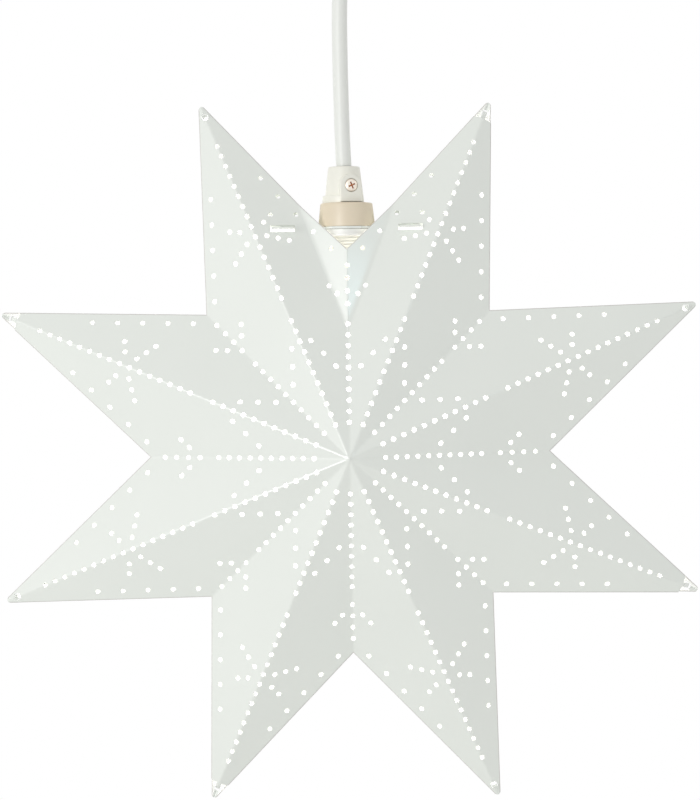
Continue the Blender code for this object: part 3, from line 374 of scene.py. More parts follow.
def clear_glass():
    """Blown soda-lime glass: clear and glossy, with slow waves from the mould."""
    return grained("blown_soda_lime_glass", linear("FFFFFF"), {
        "Roughness": 0.02, "IOR": 1.52, "Transmission Weight": 1.0}, 0.018, 1.0, 0.25, 0.0003)[0]


def black_glass():
    """Pressed black glass that seals the bulb's cap: dark, with a fire-polished gloss."""
    return grained("pressed_black_glass", linear("1C1B22"), {"Roughness": 0.12, "IOR": 1.60},
                   0.0015, 2.0, 0.4, 0.0001, share=0.6)[0]


def glowing_tungsten(glow):
    """Coiled tungsten wire, alight: warm white, with the coil's turns across it."""
    mat, tree, shader, place = new_finish("coiled_tungsten", linear("8A857C"), {
        "Roughness": 0.45, "Metallic": 1.0, "Emission Color": (*glow, 1), "Emission Strength": 60.0})
    coil = add_node(tree, "TexWave", {"Scale": 1 / 0.0012}, {"Vector": place})
    bump = add_node(tree, "Bump", {"Strength": 0.6, "Distance": 0.00005}, {"Height": coil.outputs[1]})
    wire(shader, {"Normal": bump})
    return mat


# Shapes

def placed(name, data):
    """A new object in the scene."""
    ob = bpy.data.objects.new(name, data)
    bpy.context.scene.collection.objects.link(ob)
    return ob


def mesh_of(bm, name):
    mesh = bpy.data.meshes.new(name)
    bm.to_mesh(mesh)
    bm.free()
    return mesh


def shaped(ob):
    """The mesh of an object after its modifiers."""
    bpy.context.view_layer.update()
    depsgraph = bpy.context.evaluated_depsgraph_get()
    return bpy.data.meshes.new_from_object(ob.evaluated_get(depsgraph))


def finished(source, name, mat, angle=30, smooth=True):
    """A plain mesh piece from an object and its modifiers, with round faces shaded smooth."""
    mesh = shaped(source)
    matrix = source.matrix_world.copy()
    bm = bmesh.new()
    bm.from_mesh(mesh)
    bmesh.ops.remove_doubles(bm, verts=bm.verts, dist=WELD)
    bm.to_mesh(mesh)
    bm.free()
    bpy.data.objects.remove(source, do_unlink=True)
    mesh.materials.clear()
    mesh.materials.append(mat)
    if smooth:
        mesh.shade_smooth()
        mesh.set_sharp_from_angle(angle=math.radians(angle))
    piece = placed(name, mesh)
    piece.matrix_world = matrix
    return piece


def rounded(corners, steps=4):
    """A profile from (radius, height, fillet) corners, each rounded by its own fillet."""
    points = []
    for i, (x, z, fillet) in enumerate(corners):
        here = Vector((x, z))
        if not fillet:
            points.append((x, z))
            continue
        before = Vector(corners[i - 1][:2]) - here
        after = Vector(corners[(i + 1) % len(corners)][:2]) - here
        reach = min(fillet, 0.48 * before.length, 0.48 * after.length)
        start, end = here + before.normalized() * reach, here + after.normalized() * reach
        for j in range(steps + 1):
            t = j / steps
            p = start * (1 - t) ** 2 + here * 2 * t * (1 - t) + end * t ** 2
            points.append((p.x, p.y))
    return points


def turned(profile, steps, place=SLOTS, ring=True):
    """A profile turned about the vertical through place, still to be finished."""
    mesh = bpy.data.meshes.new("turned")
    count = len(profile)
    edges = [(i, (i + 1) % count) for i in range(count if ring else count - 1)]
    mesh.from_pydata([(r, 0, z) for r, z in profile], edges, [])
    ob = placed("turned", mesh)
    ob.location = place
    screw = ob.modifiers.new("turn", 'SCREW')
    screw.angle = math.tau
    screw.steps = screw.render_steps = steps
    screw.use_merge_vertices = True
    screw.merge_threshold = WELD
    return ob


def threaded_tube(bore, crest, depth, low, high, pitch, sides=96, plain=0.0):
    """A tube with a rolled right-hand thread outside, fading to its root at both ends. A plain
    stretch at its lower end stands at the crest."""
    start = low + plain
    rows = max(8, round((high - start) / pitch * 10))
    levels = [low] if plain else []
    levels += [start + (high - start) * j / rows for j in range(rows + 1)]
    bm = bmesh.new()
    rings = []
    for level, z in enumerate(levels + [high, low]):
        ring = []
        for share in (i / sides for i in range(sides)):
            wave = 0.5 + 0.5 * math.cos(math.tau * (z / pitch - share))
            fade = min(1.0, (high - z) / pitch, (z - start) / pitch)
            r = crest - depth * (1 - wave * max(0.0, fade))
            if plain and level < 2:
                r = crest
            if level >= len(levels):
                r = bore
            ring.append(bm.verts.new((r * math.cos(math.tau * share),
                                      r * math.sin(math.tau * share), z)))
        rings.append(ring)
    for a, b in zip(rings, rings[1:] + rings[:1]):
        for i in range(sides):
            j = (i + 1) % sides
            bm.faces.new((a[i], a[j], b[j], b[i]))
    return placed("threaded_tube", mesh_of(bm, "threaded_tube"))


def cut(ob, tool, operation='DIFFERENCE'):
    """Cuts or joins a tool's shape at once, and takes the tool away."""
    mod = ob.modifiers.new("cut", 'BOOLEAN')
    mod.operation, mod.solver, mod.object = operation, 'EXACT', tool
    mesh = shaped(ob)
    ob.modifiers.clear()
    ob.data = mesh
    bpy.data.objects.remove(tool, do_unlink=True)


def rod(radius, long, matrix, sides=48):
    bm = bmesh.new()
    bmesh.ops.create_cone(bm, cap_ends=True, segments=sides, radius1=radius, radius2=radius,
                          depth=long, matrix=matrix)
    return placed("rod", mesh_of(bm, "rod"))


def block(size, matrix):
    bm = bmesh.new()
    bmesh.ops.create_cube(bm, size=1, matrix=Matrix.Diagonal((*size, 1)))
    bm.transform(matrix)
    return placed("block", mesh_of(bm, "block"))


def plate(outline, half_thick, edge):
    """A flat plate with rounded edges, from its closed outline."""
    curve = bpy.data.curves.new("plate", 'CURVE')
    curve.dimensions = '2D'
    curve.fill_mode = 'BOTH'
    curve.extrude = half_thick - edge
    curve.bevel_depth = edge
    curve.bevel_resolution = 2
    curve.offset = -edge
    spline = curve.splines.new('POLY')
    spline.points.add(len(outline) - 1)
    for point, (x, y) in zip(spline.points, outline):
        point.co = (x, y, 0, 1)
    spline.use_cyclic_u = True
    return placed("plate", curve)


def thin_sheet(outlines):
    """A flat sheet without thickness, from its edge's outline and those of its holes."""
    verts, edges, owner = [], [], []
    for which, points in enumerate(outlines):
        first, count = len(verts), len(points)
        verts += [Vector(point) for point in points]
        owner += [which] * count
        edges += [(first + i, first + (i + 1) % count) for i in range(count)]
    inside = 1
    flat, _, faces, sources, *_ = delaunay_2d_cdt(verts, edges, [], inside, WELD / 10)
    kept = []
    for face in faces:
        rims = {owner[sources[i][0]] for i in face}
        if rims == {0} or len(rims) > 1:
            kept.append(face)
    mesh = bpy.data.meshes.new("thin_sheet")
    mesh.from_pydata([(v.x, v.y, 0) for v in flat], [], kept)
    return mesh


def arc(x, y, radius, start, end, steps):
    return [(x + radius * math.cos(start + (end - start) * i / steps),
             y + radius * math.sin(start + (end - start) * i / steps)) for i in range(steps + 1)]


def smooth_route(points, spacing):
    """Points read at an even spacing from a smooth curve through the given ones."""
    fine = []
    last = len(points) - 1
    for i in range(last):
        before = points[max(i - 1, 0)]
        start, end = points[i], points[i + 1]
        after = points[min(i + 2, last)]
        out = start + (end - before) / 6
        back = end - (after - start) / 6
        fine.extend(interpolate_bezier(start, out, back, end, 12)[:-1])
    fine.append(points[-1])
    whole = sum((b - a).length for a, b in zip(fine, fine[1:]))
    count = max(2, round(whole / spacing))
    step = whole / count
    route, travelled = [fine[0]], 0.0
    for a, b in zip(fine, fine[1:]):
        reach = (b - a).length
        while len(route) < count and travelled + reach >= step * len(route):
            route.append(a.lerp(b, (step * len(route) - travelled) / reach))
        travelled += reach
    route.append(fine[-1])
    return route


def round_wire(name, route, radius, resolution):
    """A round cord or wire along a route."""
    curve = bpy.data.curves.new(name, 'CURVE')
    curve.dimensions = '3D'
    curve.bevel_depth = radius
    curve.bevel_resolution = resolution
    curve.use_fill_caps = True
    spline = curve.splines.new('POLY')
    spline.points.add(len(route) - 1)
    for point, place in zip(spline.points, route):
        point.co = (*place, 1)
    spline.use_smooth = True
    return placed(name, curve)


def belongs(piece, body, node):
    """Makes a piece move with its body and stand for the solid it is made from."""
    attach(piece, body)
    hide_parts(node)


def above_slots(node):
    """A round solid's radius, and its lowest and highest place above the slots."""
    low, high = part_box(node)
    return high.x, low.z - SLOTS.z, high.z - SLOTS.z


def dress(mat, *nodes):
    """Gives solids that keep their shape a finished material."""
    for name in nodes:
        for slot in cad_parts[name].material_slots:
            slot.material = mat


# The folded pressings

class Blank:
    """One facet of the flat blank, its holes, and the way it is folded and sprung."""

    def __init__(self, settings):
        self.settings = settings
        sharp_r = settings.tip_span / 2 + TIP_ROUND * (1 / SIN_STEP - 1)
        slope = (settings.peak - TIP_APART) / sharp_r
        valley_slope = (slope * COS_STEP * (1 + SIN_STEP * math.hypot(1, slope))
                        / (COS_STEP ** 2 - (slope * SIN_STEP) ** 2))
        self.ridge_long = sharp_r * math.hypot(1, slope)
        self.valley_long = self.ridge_long * NOTCH_SHARE
        notch_r = self.valley_long / math.hypot(1, valley_slope)
        self.ridge_axis = Vector((1, slope, 0)).normalized()
        valley_axis = Vector((COS_STEP, valley_slope, SIN_STEP)).normalized()
        self.normal = self.ridge_axis.cross(valley_axis).normalized()
        self.across = self.normal.cross(self.ridge_axis)
        # How steeply a facet falls away sideways from its ridge, and rises from its valley
        self.ridge_fall = abs(self.normal.z) / math.hypot(self.normal.x, self.normal.y)
        aside = self.normal.x * SIN_STEP - self.normal.z * COS_STEP
        self.valley_fall = abs(aside) / math.sqrt(1 - aside ** 2)
        self.peak_point = Vector((0, -settings.peak, 0))
        self.round_at = self.ridge_long - TIP_ROUND / SIN_STEP
        end = self.round_at + TIP_ROUND
        self.tip_hole_at = end - TIP_HOLE_IN
        self.tongue_root = end - TONGUE_ROOT_IN
        self.slot_x = SLOT_X_SHARE * notch_r
        self.slot_z = SLOT_Z_SHARE * notch_r
        self.edge = Vector((COS_STEP, -SIN_STEP))
        self.centre = SLOTS - Vector((0, 0, self.slot_z))
        self.notch = self.beside_valley(self.valley_long, 0)

    def beside_valley(self, along, aside):
        """A place on the blank, given along the valley and from it towards the ridge."""
        return Vector((along * COS_STEP + aside * SIN_STEP, along * SIN_STEP - aside * COS_STEP))

    def on_blank(self, x, z):
        """Where a point right of the top valley, seen from the front, lies on the blank."""
        turn = math.pi / 2 - HALF_STEP
        along = x * math.cos(turn) + z * math.sin(turn)
        aside = z * math.cos(turn) - x * math.sin(turn)
        back = -(self.normal.x * along + self.normal.z * aside) / self.normal.y
        place = Vector((along, back, aside))
        return place.dot(self.ridge_axis), place.dot(self.across)

    def bites(self, rows):
        """Middles of the half holes along a fold."""
        return [(first + pitch * i) * self.ridge_long
                for first, pitch, count in rows for i in range(count)]

    def outline(self, has_hole):
        """The facet's edge: the ridge with its half holes, the tip, the rim, the valley."""
        points = [(0, 0)]
        r = self.settings.hole / 2
        for at in self.bites(RIDGE_ROWS):
            points += arc(at, 0, r, math.pi, 0, 7)
        if has_hole:
            points += arc(self.tip_hole_at, 0, self.settings.tip_hole / 2, math.pi, 0, 8)
            points += arc(self.round_at, 0, TIP_ROUND, 0, math.pi / 2 - HALF_STEP, 7)
        else:
            rim = (self.ridge_long - self.tongue_root) * math.tan(HALF_STEP)
            points += [(self.tongue_root, 0), (self.tongue_root, TONGUE_WIDE / 2),
                       (self.tongue_root, rim)]
        points.append(self.notch)
        for at in reversed(self.bites(VALLEY_ROWS)):
            points += [self.beside_valley(along, aside)
                       for along, aside in arc(at, 0, r, 0, math.pi, 7)]
        return points

    def holes(self):
        """Middles of the holes inside the facet."""
        first, to_ridge, pitch, count = STAR_ROW
        start = self.beside_valley(first, 0)
        row = (Vector((to_ridge, 0)) - start).normalized()
        places = [start + row * pitch * (i + 1) for i in range(count)]
        inside, first, pitch, count = RIM_ROW
        notch = self.beside_valley(NOTCH_SHARE, 0)
        inward = Vector((-SIN_STEP, -COS_STEP))
        places += [notch + inward * inside + self.edge * (first + pitch * i) for i in range(count)]
        for turn, first, pitch, count in SNOW_ARMS:
            places += [Vector((SNOW_AT + (first + pitch * i) * math.cos(turn),
                               (first + pitch * i) * math.sin(turn))) for i in range(count)]
        along, first, pitch, count = CHEVRON
        for i in range(count):
            reach = (first + pitch * i) * math.sqrt(0.5)
            places.append(self.beside_valley(along + reach, reach))
        return [place * self.ridge_long for place in places]

    def slot(self):
        return [self.on_blank(self.slot_x + dx * SLOT_WIDE / 2, self.slot_z + dz * SLOT_HIGH / 2)
                for dx, dz in ((-1, -1), (1, -1), (1, 1), (-1, 1))]

    def sprung(self):
        """A point where the sheet starts to give, the way across, and the notch's distance."""
        low = self.beside_valley(self.valley_long - SPRUNG_VALLEY, 0)
        along = (self.notch + self.edge * SPRUNG_RIM - low).normalized()
        across = Vector((-along.y, along.x))
        return low, across, across.dot(self.notch - low)

    def away(self, flat):
        """How far a place on the blank is from the ridge, the valley and the rim."""
        valley = Vector((SIN_STEP, -COS_STEP))
        rim = Vector((-self.edge.y, self.edge.x))
        return Vector((abs(flat.y), abs(valley.dot(flat)), abs(rim.dot(self.notch - flat))))

    def facet(self, has_hole, has_slot):
        """One facet as an open sheet, folded into its place beside the first ridge."""
        outlines = [self.outline(has_hole)]
        outlines += [arc(p.x, p.y, self.settings.hole / 2, 0, math.tau * 13 / 14, 13)
                     for p in self.holes()]
        if has_slot:
            outlines.append(self.slot())
        mesh = thin_sheet(outlines)
        bm = bmesh.new()
        bm.from_mesh(mesh)
        places = bm.verts.layers.float_vector.new(PLACES)
        shares = {}
        if has_slot:
            low, across, reach = self.sprung()
            for i in range(SPRUNG_CUTS):
                at = low + across * reach * (i / SPRUNG_CUTS) ** 2
                bmesh.ops.bisect_plane(bm, geom=bm.verts[:] + bm.edges[:] + bm.faces[:], dist=WELD,
                                       plane_co=at.to_3d(), plane_no=across.to_3d())
            for vert in bm.verts:
                shares[vert] = max(0.0, across.dot(vert.co.to_2d() - low) / reach)
        way = (Vector((COS_STEP, 0, SIN_STEP)) * self.settings.sprung_up
               - Vector((0, self.settings.sprung_out, 0)))
        soft = math.sqrt(SPRUNG_SOFT_SHARE)
        for vert in bm.verts:
            flat = vert.co.copy()
            vert[places] = self.away(flat.to_2d())
            vert.co = self.peak_point + self.ridge_axis * flat.x + self.across * flat.y
            bend = math.hypot(shares.get(vert, 0.0), soft) - soft
            vert.co += way * (bend / (math.hypot(1, soft) - soft))
        bm.to_mesh(mesh)
        bm.free()
        return mesh

    def tongue(self, bm, turn):
        """Draws the shoulder beside a ridge out into the tongue for the far pressing."""
        root = self.peak_point + self.ridge_axis * self.tongue_root
        hole = self.peak_point + self.ridge_axis * self.tip_hole_at
        way = Vector((hole.x, -hole.y, hole.z)) - root
        way += way.normalized() * TONGUE_PAST
        here = turn @ root
        near = [v for v in bm.verts if (v.co - here).length < TONGUE_WIDE * 0.6]
        edges = [e for e in bm.edges if e.is_boundary and e.verts[0] in near and e.verts[1] in near]
        made = bmesh.ops.extrude_edge_only(bm, edges=edges)
        verts = [g for g in made["geom"] if isinstance(g, bmesh.types.BMVert)]
        bmesh.ops.translate(bm, verts=verts, vec=turn.to_3x3() @ way)
        places = bm.verts.layers.float_vector[PLACES]
        for vert in verts:
            vert[places] = Vector((1, 1, 1)) * TONGUE_WIDE

    def pressing(self):
        """All sixteen facets, with tips that have a hole and a tongue by turns."""
        facets = {(hole, slot): self.facet(hole, slot)
                  for hole in (True, False) for slot in (True, False)}
        flip = Matrix.Diagonal((1, 1, -1, 1))
        turns = [Matrix.Rotation(-HALF_STEP * (2 * k + 1), 4, 'Y') for k in range(POINTS)]
        bm = bmesh.new()
        for k, turn in enumerate(turns):
            for side in (1, -1):
                beside_top = (k, side) in ((1, 1), (2, -1))
                mesh = facets[(k % 2 == 0, beside_top)].copy()
                mesh.transform(turn if side > 0 else turn @ flip)
                if side < 0:
                    mesh.flip_normals()
                bm.from_mesh(mesh)
        bmesh.ops.remove_doubles(bm, verts=bm.verts, dist=WELD * 2)
        for turn in turns[1::2]:
            self.tongue(bm, turn)
        bmesh.ops.recalc_face_normals(bm, faces=bm.faces)
        if min(bm.faces, key=lambda f: f.calc_center_median().y).normal.y > 0:
            bmesh.ops.reverse_faces(bm, faces=bm.faces)
        return mesh_of(bm, "pressing")


class STARLAMP_OT_pressings(bpy.types.Operator):
    """Builds the two folded, perforated pressings, and lacquers the plate between them"""
    bl_idname = "starlamp.pressings"
    bl_label = "Pressings"

    def execute(self, context):
        settings = context.scene.star_pressings
        blank = Blank(settings)
        mat = folded_steel(settings, blank.ridge_fall, blank.valley_fall)
        mesh = blank.pressing()
        for name, node, turn in (("front_pressing", "front_shell", 0.0),
                                 ("back_pressing", "back_shell", math.pi)):
            sheet = placed(name, mesh.copy())
            sheet.matrix_world = (Matrix.Translation(blank.centre) @ Matrix.Rotation(turn, 4, 'Z'))
            solid = sheet.modifiers.new("sheet", 'SOLIDIFY')
            solid.thickness = settings.sheet
            solid.offset = 0
            solid.use_even_offset = True
            solid.use_quality_normals = True
            belongs(finished(sheet, name, mat, angle=20), "star", node)
        dress(lacquered_steel("gloss_lacquered_sheet_steel", settings)[0], "holder_plate")
        return {'FINISHED'}


# The lamp holder

def boss_place(out):
    """A frame at the boss's height, out from the cap's axis, whose Z points out through it."""
    axis = Matrix.Translation(SLOTS + Vector((CAP_X, 0, BOSS_Z)))
    return (axis @ Matrix.Rotation(BOSS_TURN, 4, 'Z') @ Matrix.Rotation(math.pi / 2, 4, 'X')
            @ Matrix.Translation((0, 0, out)))


class STARLAMP_OT_holder(bpy.types.Operator):
    """Builds the holder's collar, its threaded skirt and the ring nut"""
    bl_idname = "starlamp.holder"
    bl_label = "Lamp holder"

    def execute(self, context):
        settings = context.scene.star_holder
        collar_r, skirt_low, top = above_slots("holder_body")
        mat = moulded_plastic("moulded_ivory_polyester", settings.body, 0.40, 0.0005)
        profile = rounded([
            (collar_r, COLLAR_LOW_Z, 0.0002), (COLLAR_TOP_R, top, 0.0009),
            (CHAMBER_R, top, 0.0003), (CHAMBER_R, FLOOR_TOP_Z, 0.0004),
            (PLUNGER_BORE_R, FLOOR_TOP_Z, 0.0), (PLUNGER_BORE_R, SOCKET_TOP_Z, 0.0),
            (SOCKET_R, SOCKET_TOP_Z, 0.0), (SOCKET_R, COLLAR_LOW_Z, 0.0)])
        collar = turned(profile, 96)
        near, far, wide = LEAF_WAY
        deep = FLOOR_TOP_Z - skirt_low + 2 * OVERRUN
        size = (far - near, wide, deep)
        way = Vector((-(near + far) / 2, 0, skirt_low - OVERRUN + deep / 2))
        cut(collar, block(size, Matrix.Translation(SLOTS + way)))
        for side in (-1, 1):
            at = SLOTS + Vector((side * TERMINAL_X, 0, FLOOR_TOP_Z))
            cut(collar, rod(SCREW_BORE_R, 2 * GAP + OVERRUN, Matrix.Translation(at), 24))
        belongs(finished(collar, "holder_collar", mat), "star", "holder_body")
        skirt = threaded_tube(SOCKET_R, SKIRT_R, settings.thread_depth, skirt_low,
                              COLLAR_LOW_Z, settings.thread_pitch)
        skirt.location = SLOTS
        cut(skirt, block(size, Matrix.Translation(way)))
        # Painted light: a paler copy of the collar's plastic stands in for the bulb's light on the
        # skirt
        pale = moulded_plastic("moulded_polyester_painted_bulb_light", settings.skirt, 0.40, 0.0005)
        belongs(finished(skirt, "holder_skirt", pale, angle=50), "star",
                "holder_body")
        self.ring_nut(settings)
        return {'FINISHED'}

    def ring_nut(self, settings):
        flange_r, bottom, top = above_slots("shade_nut")
        top += NUT_RAISED
        mat = moulded_plastic("moulded_white_polyester", settings.nut, 0.32, 0.0005)
        lip = bottom + (top - bottom) * NUT_LIP_SHARE
        band_r = flange_r - GAP
        bore = SKIRT_R + GAP
        profile = rounded([
            (band_r, top, 0.0003), (band_r, lip, 0.00015),
            (flange_r, lip, 0.0003), (flange_r, bottom, 0.0003),
            (bore, bottom, 0.0002), (bore, top, 0.0002)])
        belongs(finished(turned(profile, 96), "ring_nut", mat), "star", "shade_nut")


class STARLAMP_OT_cap(bpy.types.Operator):
    """Builds the tapered cap with its boss and catch, and the cord grip's screw"""
    bl_idname = "starlamp.cap"
    bl_label = "Cap and cord grip"

    def execute(self, context):
        settings = context.scene.star_holder
        bottom, top = above_slots("cord_grip_cap")[1:]
        place = SLOTS + Vector((CAP_X, 0, 0))
        ceiling = top - CAP_WALL
        inner_r = CAP_TOP_R - CAP_WALL
        profile = rounded([
            (CAP_TOP_R, top, 0.0009), (CAP_LOW_R, bottom, 0.0003),
            (CAP_LOW_R - CAP_WALL, bottom, 0.0002), (inner_r, ceiling, 0.0005),
            (CORD_HOLE_R, ceiling, 0.0002), (CORD_HOLE_R, top, 0.0005)])
        cap = turned(profile, 96, place)
        arch = [(-BOSS_R, bottom - BOSS_Z), (BOSS_R, bottom - BOSS_Z)]
        arch += arc(0, 0, BOSS_R, 0, math.pi, 24)
        half = (BOSS_OUT - inner_r) / 2
        start, end = CATCH_WAY
        catch = arc(0, 0, CAP_LOW_R + CATCH_OUT, start, end, 24)
        catch += arc(0, 0, CAP_LOW_R - CAP_WALL, end, start, 24)
        beside = Matrix.Translation(place + Vector((0, 0, CATCH_MID_Z)))
        for outline, half_thick, edge, at in (
                (arch, half, 0.0004, boss_place(inner_r + half)),
                (catch, CATCH_HIGH / 2, 0.0003, beside)):
            added = plate(outline, half_thick, edge)
            added.matrix_world = at
            cut(cap, finished(added, "added", None, smooth=False), 'UNION')
        past = BOSS_OUT + OVERRUN
        for radius, near in ((BOSS_SUNK_R, BOSS_OUT - BOSS_SUNK),
                             (GRIP_SHANK_R + GAP, inner_r - OVERRUN)):
            cut(cap, rod(radius, past - near, boss_place((past + near) / 2)))
        room = ceiling - bottom + OVERRUN
        middle = place + Vector((0, 0, (ceiling + bottom - OVERRUN) / 2))
        cut(cap, rod(inner_r, room, Matrix.Translation(middle), 96))
        mat = moulded_plastic("moulded_white_polyamide", settings.cap, 0.38, 0.0004)
        belongs(finished(cap, "grip_cap", mat), "star", "cord_grip_cap")
        self.grip_screw(settings)
        dress(mat, "cord_clamp")
        return {'FINISHED'}

    def grip_screw(self, settings):
        head_low = BOSS_OUT - BOSS_SUNK + GAP
        head_high = head_low + GRIP_HEAD_T
        head = [(0, head_high, 0), (GRIP_HEAD_R * 0.7, head_high, 0.0006),
                (GRIP_HEAD_R, head_high - 0.0006, 0.0004), (GRIP_HEAD_R, head_low, 0.0001)]
        shank = [(GRIP_SHANK_R, head_low, 0), (GRIP_SHANK_R, GRIP_IN, 0.0002), (0, GRIP_IN, 0)]
        screw = turned(rounded(head + shank), 64, ORIGIN, ring=False)
        screw.matrix_world = boss_place(0)
        at = boss_place(head_high) @ Matrix.Rotation(HALF_STEP, 4, 'Z')
        for wide, high in ((GRIP_CROSS, GRIP_CROSS_WIDE), (GRIP_CROSS_WIDE, GRIP_CROSS)):
            cut(screw, block((wide, high, 2 * GRIP_CROSS_WIDE), at))
        mat = self.screw_finish(settings, head_high)
        belongs(finished(screw, "grip_screw", mat), "star", "cord_grip_screw")

    def screw_finish(self, settings, head_high):
        """Zinc-plated steel with a pale bloom, and copper under it bared in the cross."""
        mat = plated_metal("copper_and_zinc_plated_steel", settings.screw, 0.45, 0.0006)
        tree = mat.node_tree
        place = add_node(tree, "TexCoord").outputs["Object"]
        high = add_node(tree, "SeparateXYZ", {}, {0: place}).outputs[2]
        low = add_node(tree, "Math", {1: head_high - COPPER_DOWN}, {0: high}, operation='LESS_THAN')
        level = add_node(tree, "VectorMath", {1: (1, 1, 0)}, {0: place}, operation='MULTIPLY')
        out = add_node(tree, "VectorMath", {}, {0: level}, operation='LENGTH')
        near = add_node(tree, "Math", {1: GRIP_CROSS / 2 + GAP / 2},
                        {0: out.outputs["Value"]}, operation='LESS_THAN')
        bared = add_node(tree, "Math", {}, {0: low, 1: near}, operation='MULTIPLY')
        lay_over(tree, tree.nodes["Principled BSDF"], settings.recess, bared)
        return mat


class STARLAMP_OT_cord(bpy.types.Operator):
    """Builds the cord from the cap to the ceiling bush, and gives its end inside the cap and its cores
    their vinyl
    """
    bl_idname = "starlamp.cord"
    bl_label = "Cord"

    def execute(self, context):
        settings = context.scene.star_cord
        route = smooth_route([SLOTS + Vector((x, 0, z)) for x, z in CORD_ROUTE], CORD_STEP)
        mat = extruded_vinyl("extruded_white_vinyl", settings.jacket)
        cord = round_wire("hanging_cord", route, settings.diameter / 2, 10)
        cord.data.materials.append(mat)
        belongs(cord, "cord", "cord")
        dress(mat, "cord_tail")
        dress(extruded_vinyl("extruded_brown_vinyl", linear("7A5238")), "core_live")
        dress(extruded_vinyl("extruded_blue_vinyl", linear("3F70B8")), "core_neutral")
        return {'FINISHED'}


class STARLAMP_OT_contacts(bpy.types.Operator):
    """Gives the holder's terminals, screws, plunger and spring their metals"""
    bl_idname = "starlamp.contacts"
    bl_label = "Contacts"

    def execute(self, context):
        brass = plated_metal("stamped_brass", linear("D9B566"), 0.30, 0.0008, (1, 1, 6))
        zinc = plated_metal("zinc_plated_screw_steel", linear("C9CBCE"), 0.34, 0.0006)
        wire = plated_metal("drawn_spring_steel", linear("B9BBBE"), 0.28, 0.0003)
        dress(brass, "live_terminal", "neutral_terminal", "contact_plunger")
        dress(zinc, "live_screw", "neutral_screw")
        self.coil(wire)
        return {'FINISHED'}

    def coil(self, mat):
        """The spring behind the plunger. The real spring shortens as the plunger goes in; this coil
        keeps one length.
        """
        low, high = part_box("contact_spring")
        radius = high.x - SPRING_WIRE_R
        start = low.z + SPRING_WIRE_R
        rise = high.z - SPRING_WIRE_R - start
        route = [Vector((radius * math.cos(turn), radius * math.sin(turn),
                         start + rise * turn / (math.tau * SPRING_TURNS)))
                 for turn in (math.tau * i / SPRING_STEPS
                              for i in range(SPRING_TURNS * SPRING_STEPS + 1))]
        coil = finished(round_wire("coil", route, SPRING_WIRE_R, 3), "contact_coil", mat)
        belongs(coil, "star", "contact_spring")
        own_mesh(coil)


# The bulb

class STARLAMP_OT_bulb(bpy.types.Operator):
    """Builds the bulb's glass and threaded cap, and lights its filament"""
    bl_idname = "starlamp.bulb"
    bl_label = "Bulb"

    def execute(self, context):
        settings = context.scene.star_bulb
        glass = clear_glass()
        self.envelope(glass)
        self.screw_cap(settings)
        dress(glass, "bulb_stem")
        dress(plated_metal("nickel_wire", linear("C7C3B8"), 0.25, 0.0003), "bulb_lead_left",
              "bulb_lead_right")
        dress(black_glass(), "bulb_insulator")
        dress(plated_metal("tin_solder", linear("C2C4C8"), 0.38, 0.0009, deep=0.00006),
              "bulb_contact")
        dress(glowing_tungsten(settings.glow), "bulb_filament")
        low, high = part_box("bulb_filament")
        light = bpy.data.lights.new("filament_light", 'POINT')
        light.energy = settings.light
        light.color = settings.glow
        light.shadow_soft_size = FLAME_R
        self.spread(light)
        lamp = placed("filament_light", light)
        lamp.location = (low + high) / 2
        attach(lamp, "bulb")
        return {'FINISHED'}

    def spread(self, light):
        """White walls hand the light on, so it is even through the star, and fades outside."""
        light.use_nodes = True
        tree = light.node_tree
        even = add_node(tree, "LightFalloff", {"Strength": 1 / EVEN_AT ** 2})
        away = add_node(tree, "LightPath").outputs["Ray Length"]
        fade = add_node(tree, "MapRange", {"From Min": FADE[0], "From Max": FADE[1], **FADE_OUT},
                        {"Value": away}, interpolation_type='SMOOTHSTEP')
        power = add_node(tree, "Math", {}, {0: even.outputs["Constant"], 1: fade}, operation='MULTIPLY')
        wire(tree.nodes["Emission"], {"Strength": power})

    def envelope(self, mat):
        low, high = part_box("bulb_glass")
        outer = self.flame(high.x, GLASS_NECK_R, high.z, low.z)
        inner = self.flame(high.x - GLASS_WALL, GLASS_NECK_R - GLASS_WALL, high.z, low.z + GLASS_WALL)
        glass = turned(inner[::-1] + outer, 72, ORIGIN, ring=False)
        glass = finished(glass, "bulb_envelope", mat, angle=40)
        glass.visible_shadow = False
        belongs(glass, "bulb", "bulb_glass")

    def flame(self, radius, neck, high, low):
        """A candle bulb's outline, from its neck over the belly to the pointed end."""
        tall = high - low
        belly = low + tall * 0.52
        widest = Vector((radius, belly, 0))
        upper = interpolate_bezier(Vector((neck, high, 0)), Vector((neck, high - tall * 0.16, 0)),
                                   Vector((radius, belly + tall * 0.20, 0)), widest, 28)
        lower = interpolate_bezier(widest, Vector((radius, belly - tall * 0.28, 0)),
                                   Vector((radius * 0.20, low + tall * 0.06, 0)),
                                   Vector((0, low, 0)), 28)
        return [(p.x, p.y) for p in upper] + [(p.x, p.y) for p in lower[1:]]

    def screw_cap(self, settings):
        low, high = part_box("bulb_cap")
        depth = settings.thread_depth
        bore = high.x - 2 * depth
        shoulder = high.z - BULB_CAP_SHOULDER
        mat = plated_metal("nickel_plated_brass", linear("E4E2DB"), 0.48, 0.0005, (1, 1, 5))
        tube = threaded_tube(bore, high.x, depth, low.z, shoulder, settings.thread_pitch,
                             plain=BULB_CAP_PLAIN)
        crown = rounded([(high.x - depth, shoulder, 0), (high.x - depth * 1.5, high.z - 0.0003, 0.0005),
                         (CROWN_R, high.z, 0.0002), (CROWN_R, high.z - 0.0004, 0), (bore, shoulder, 0)])
        for source, name, angle in ((tube, "bulb_screw_cap", 50),
                                    (turned(crown, 72, ORIGIN), "bulb_cap_crown", 30)):
            belongs(finished(source, name, mat, angle), "bulb", "bulb_cap")


# The ceiling fitting

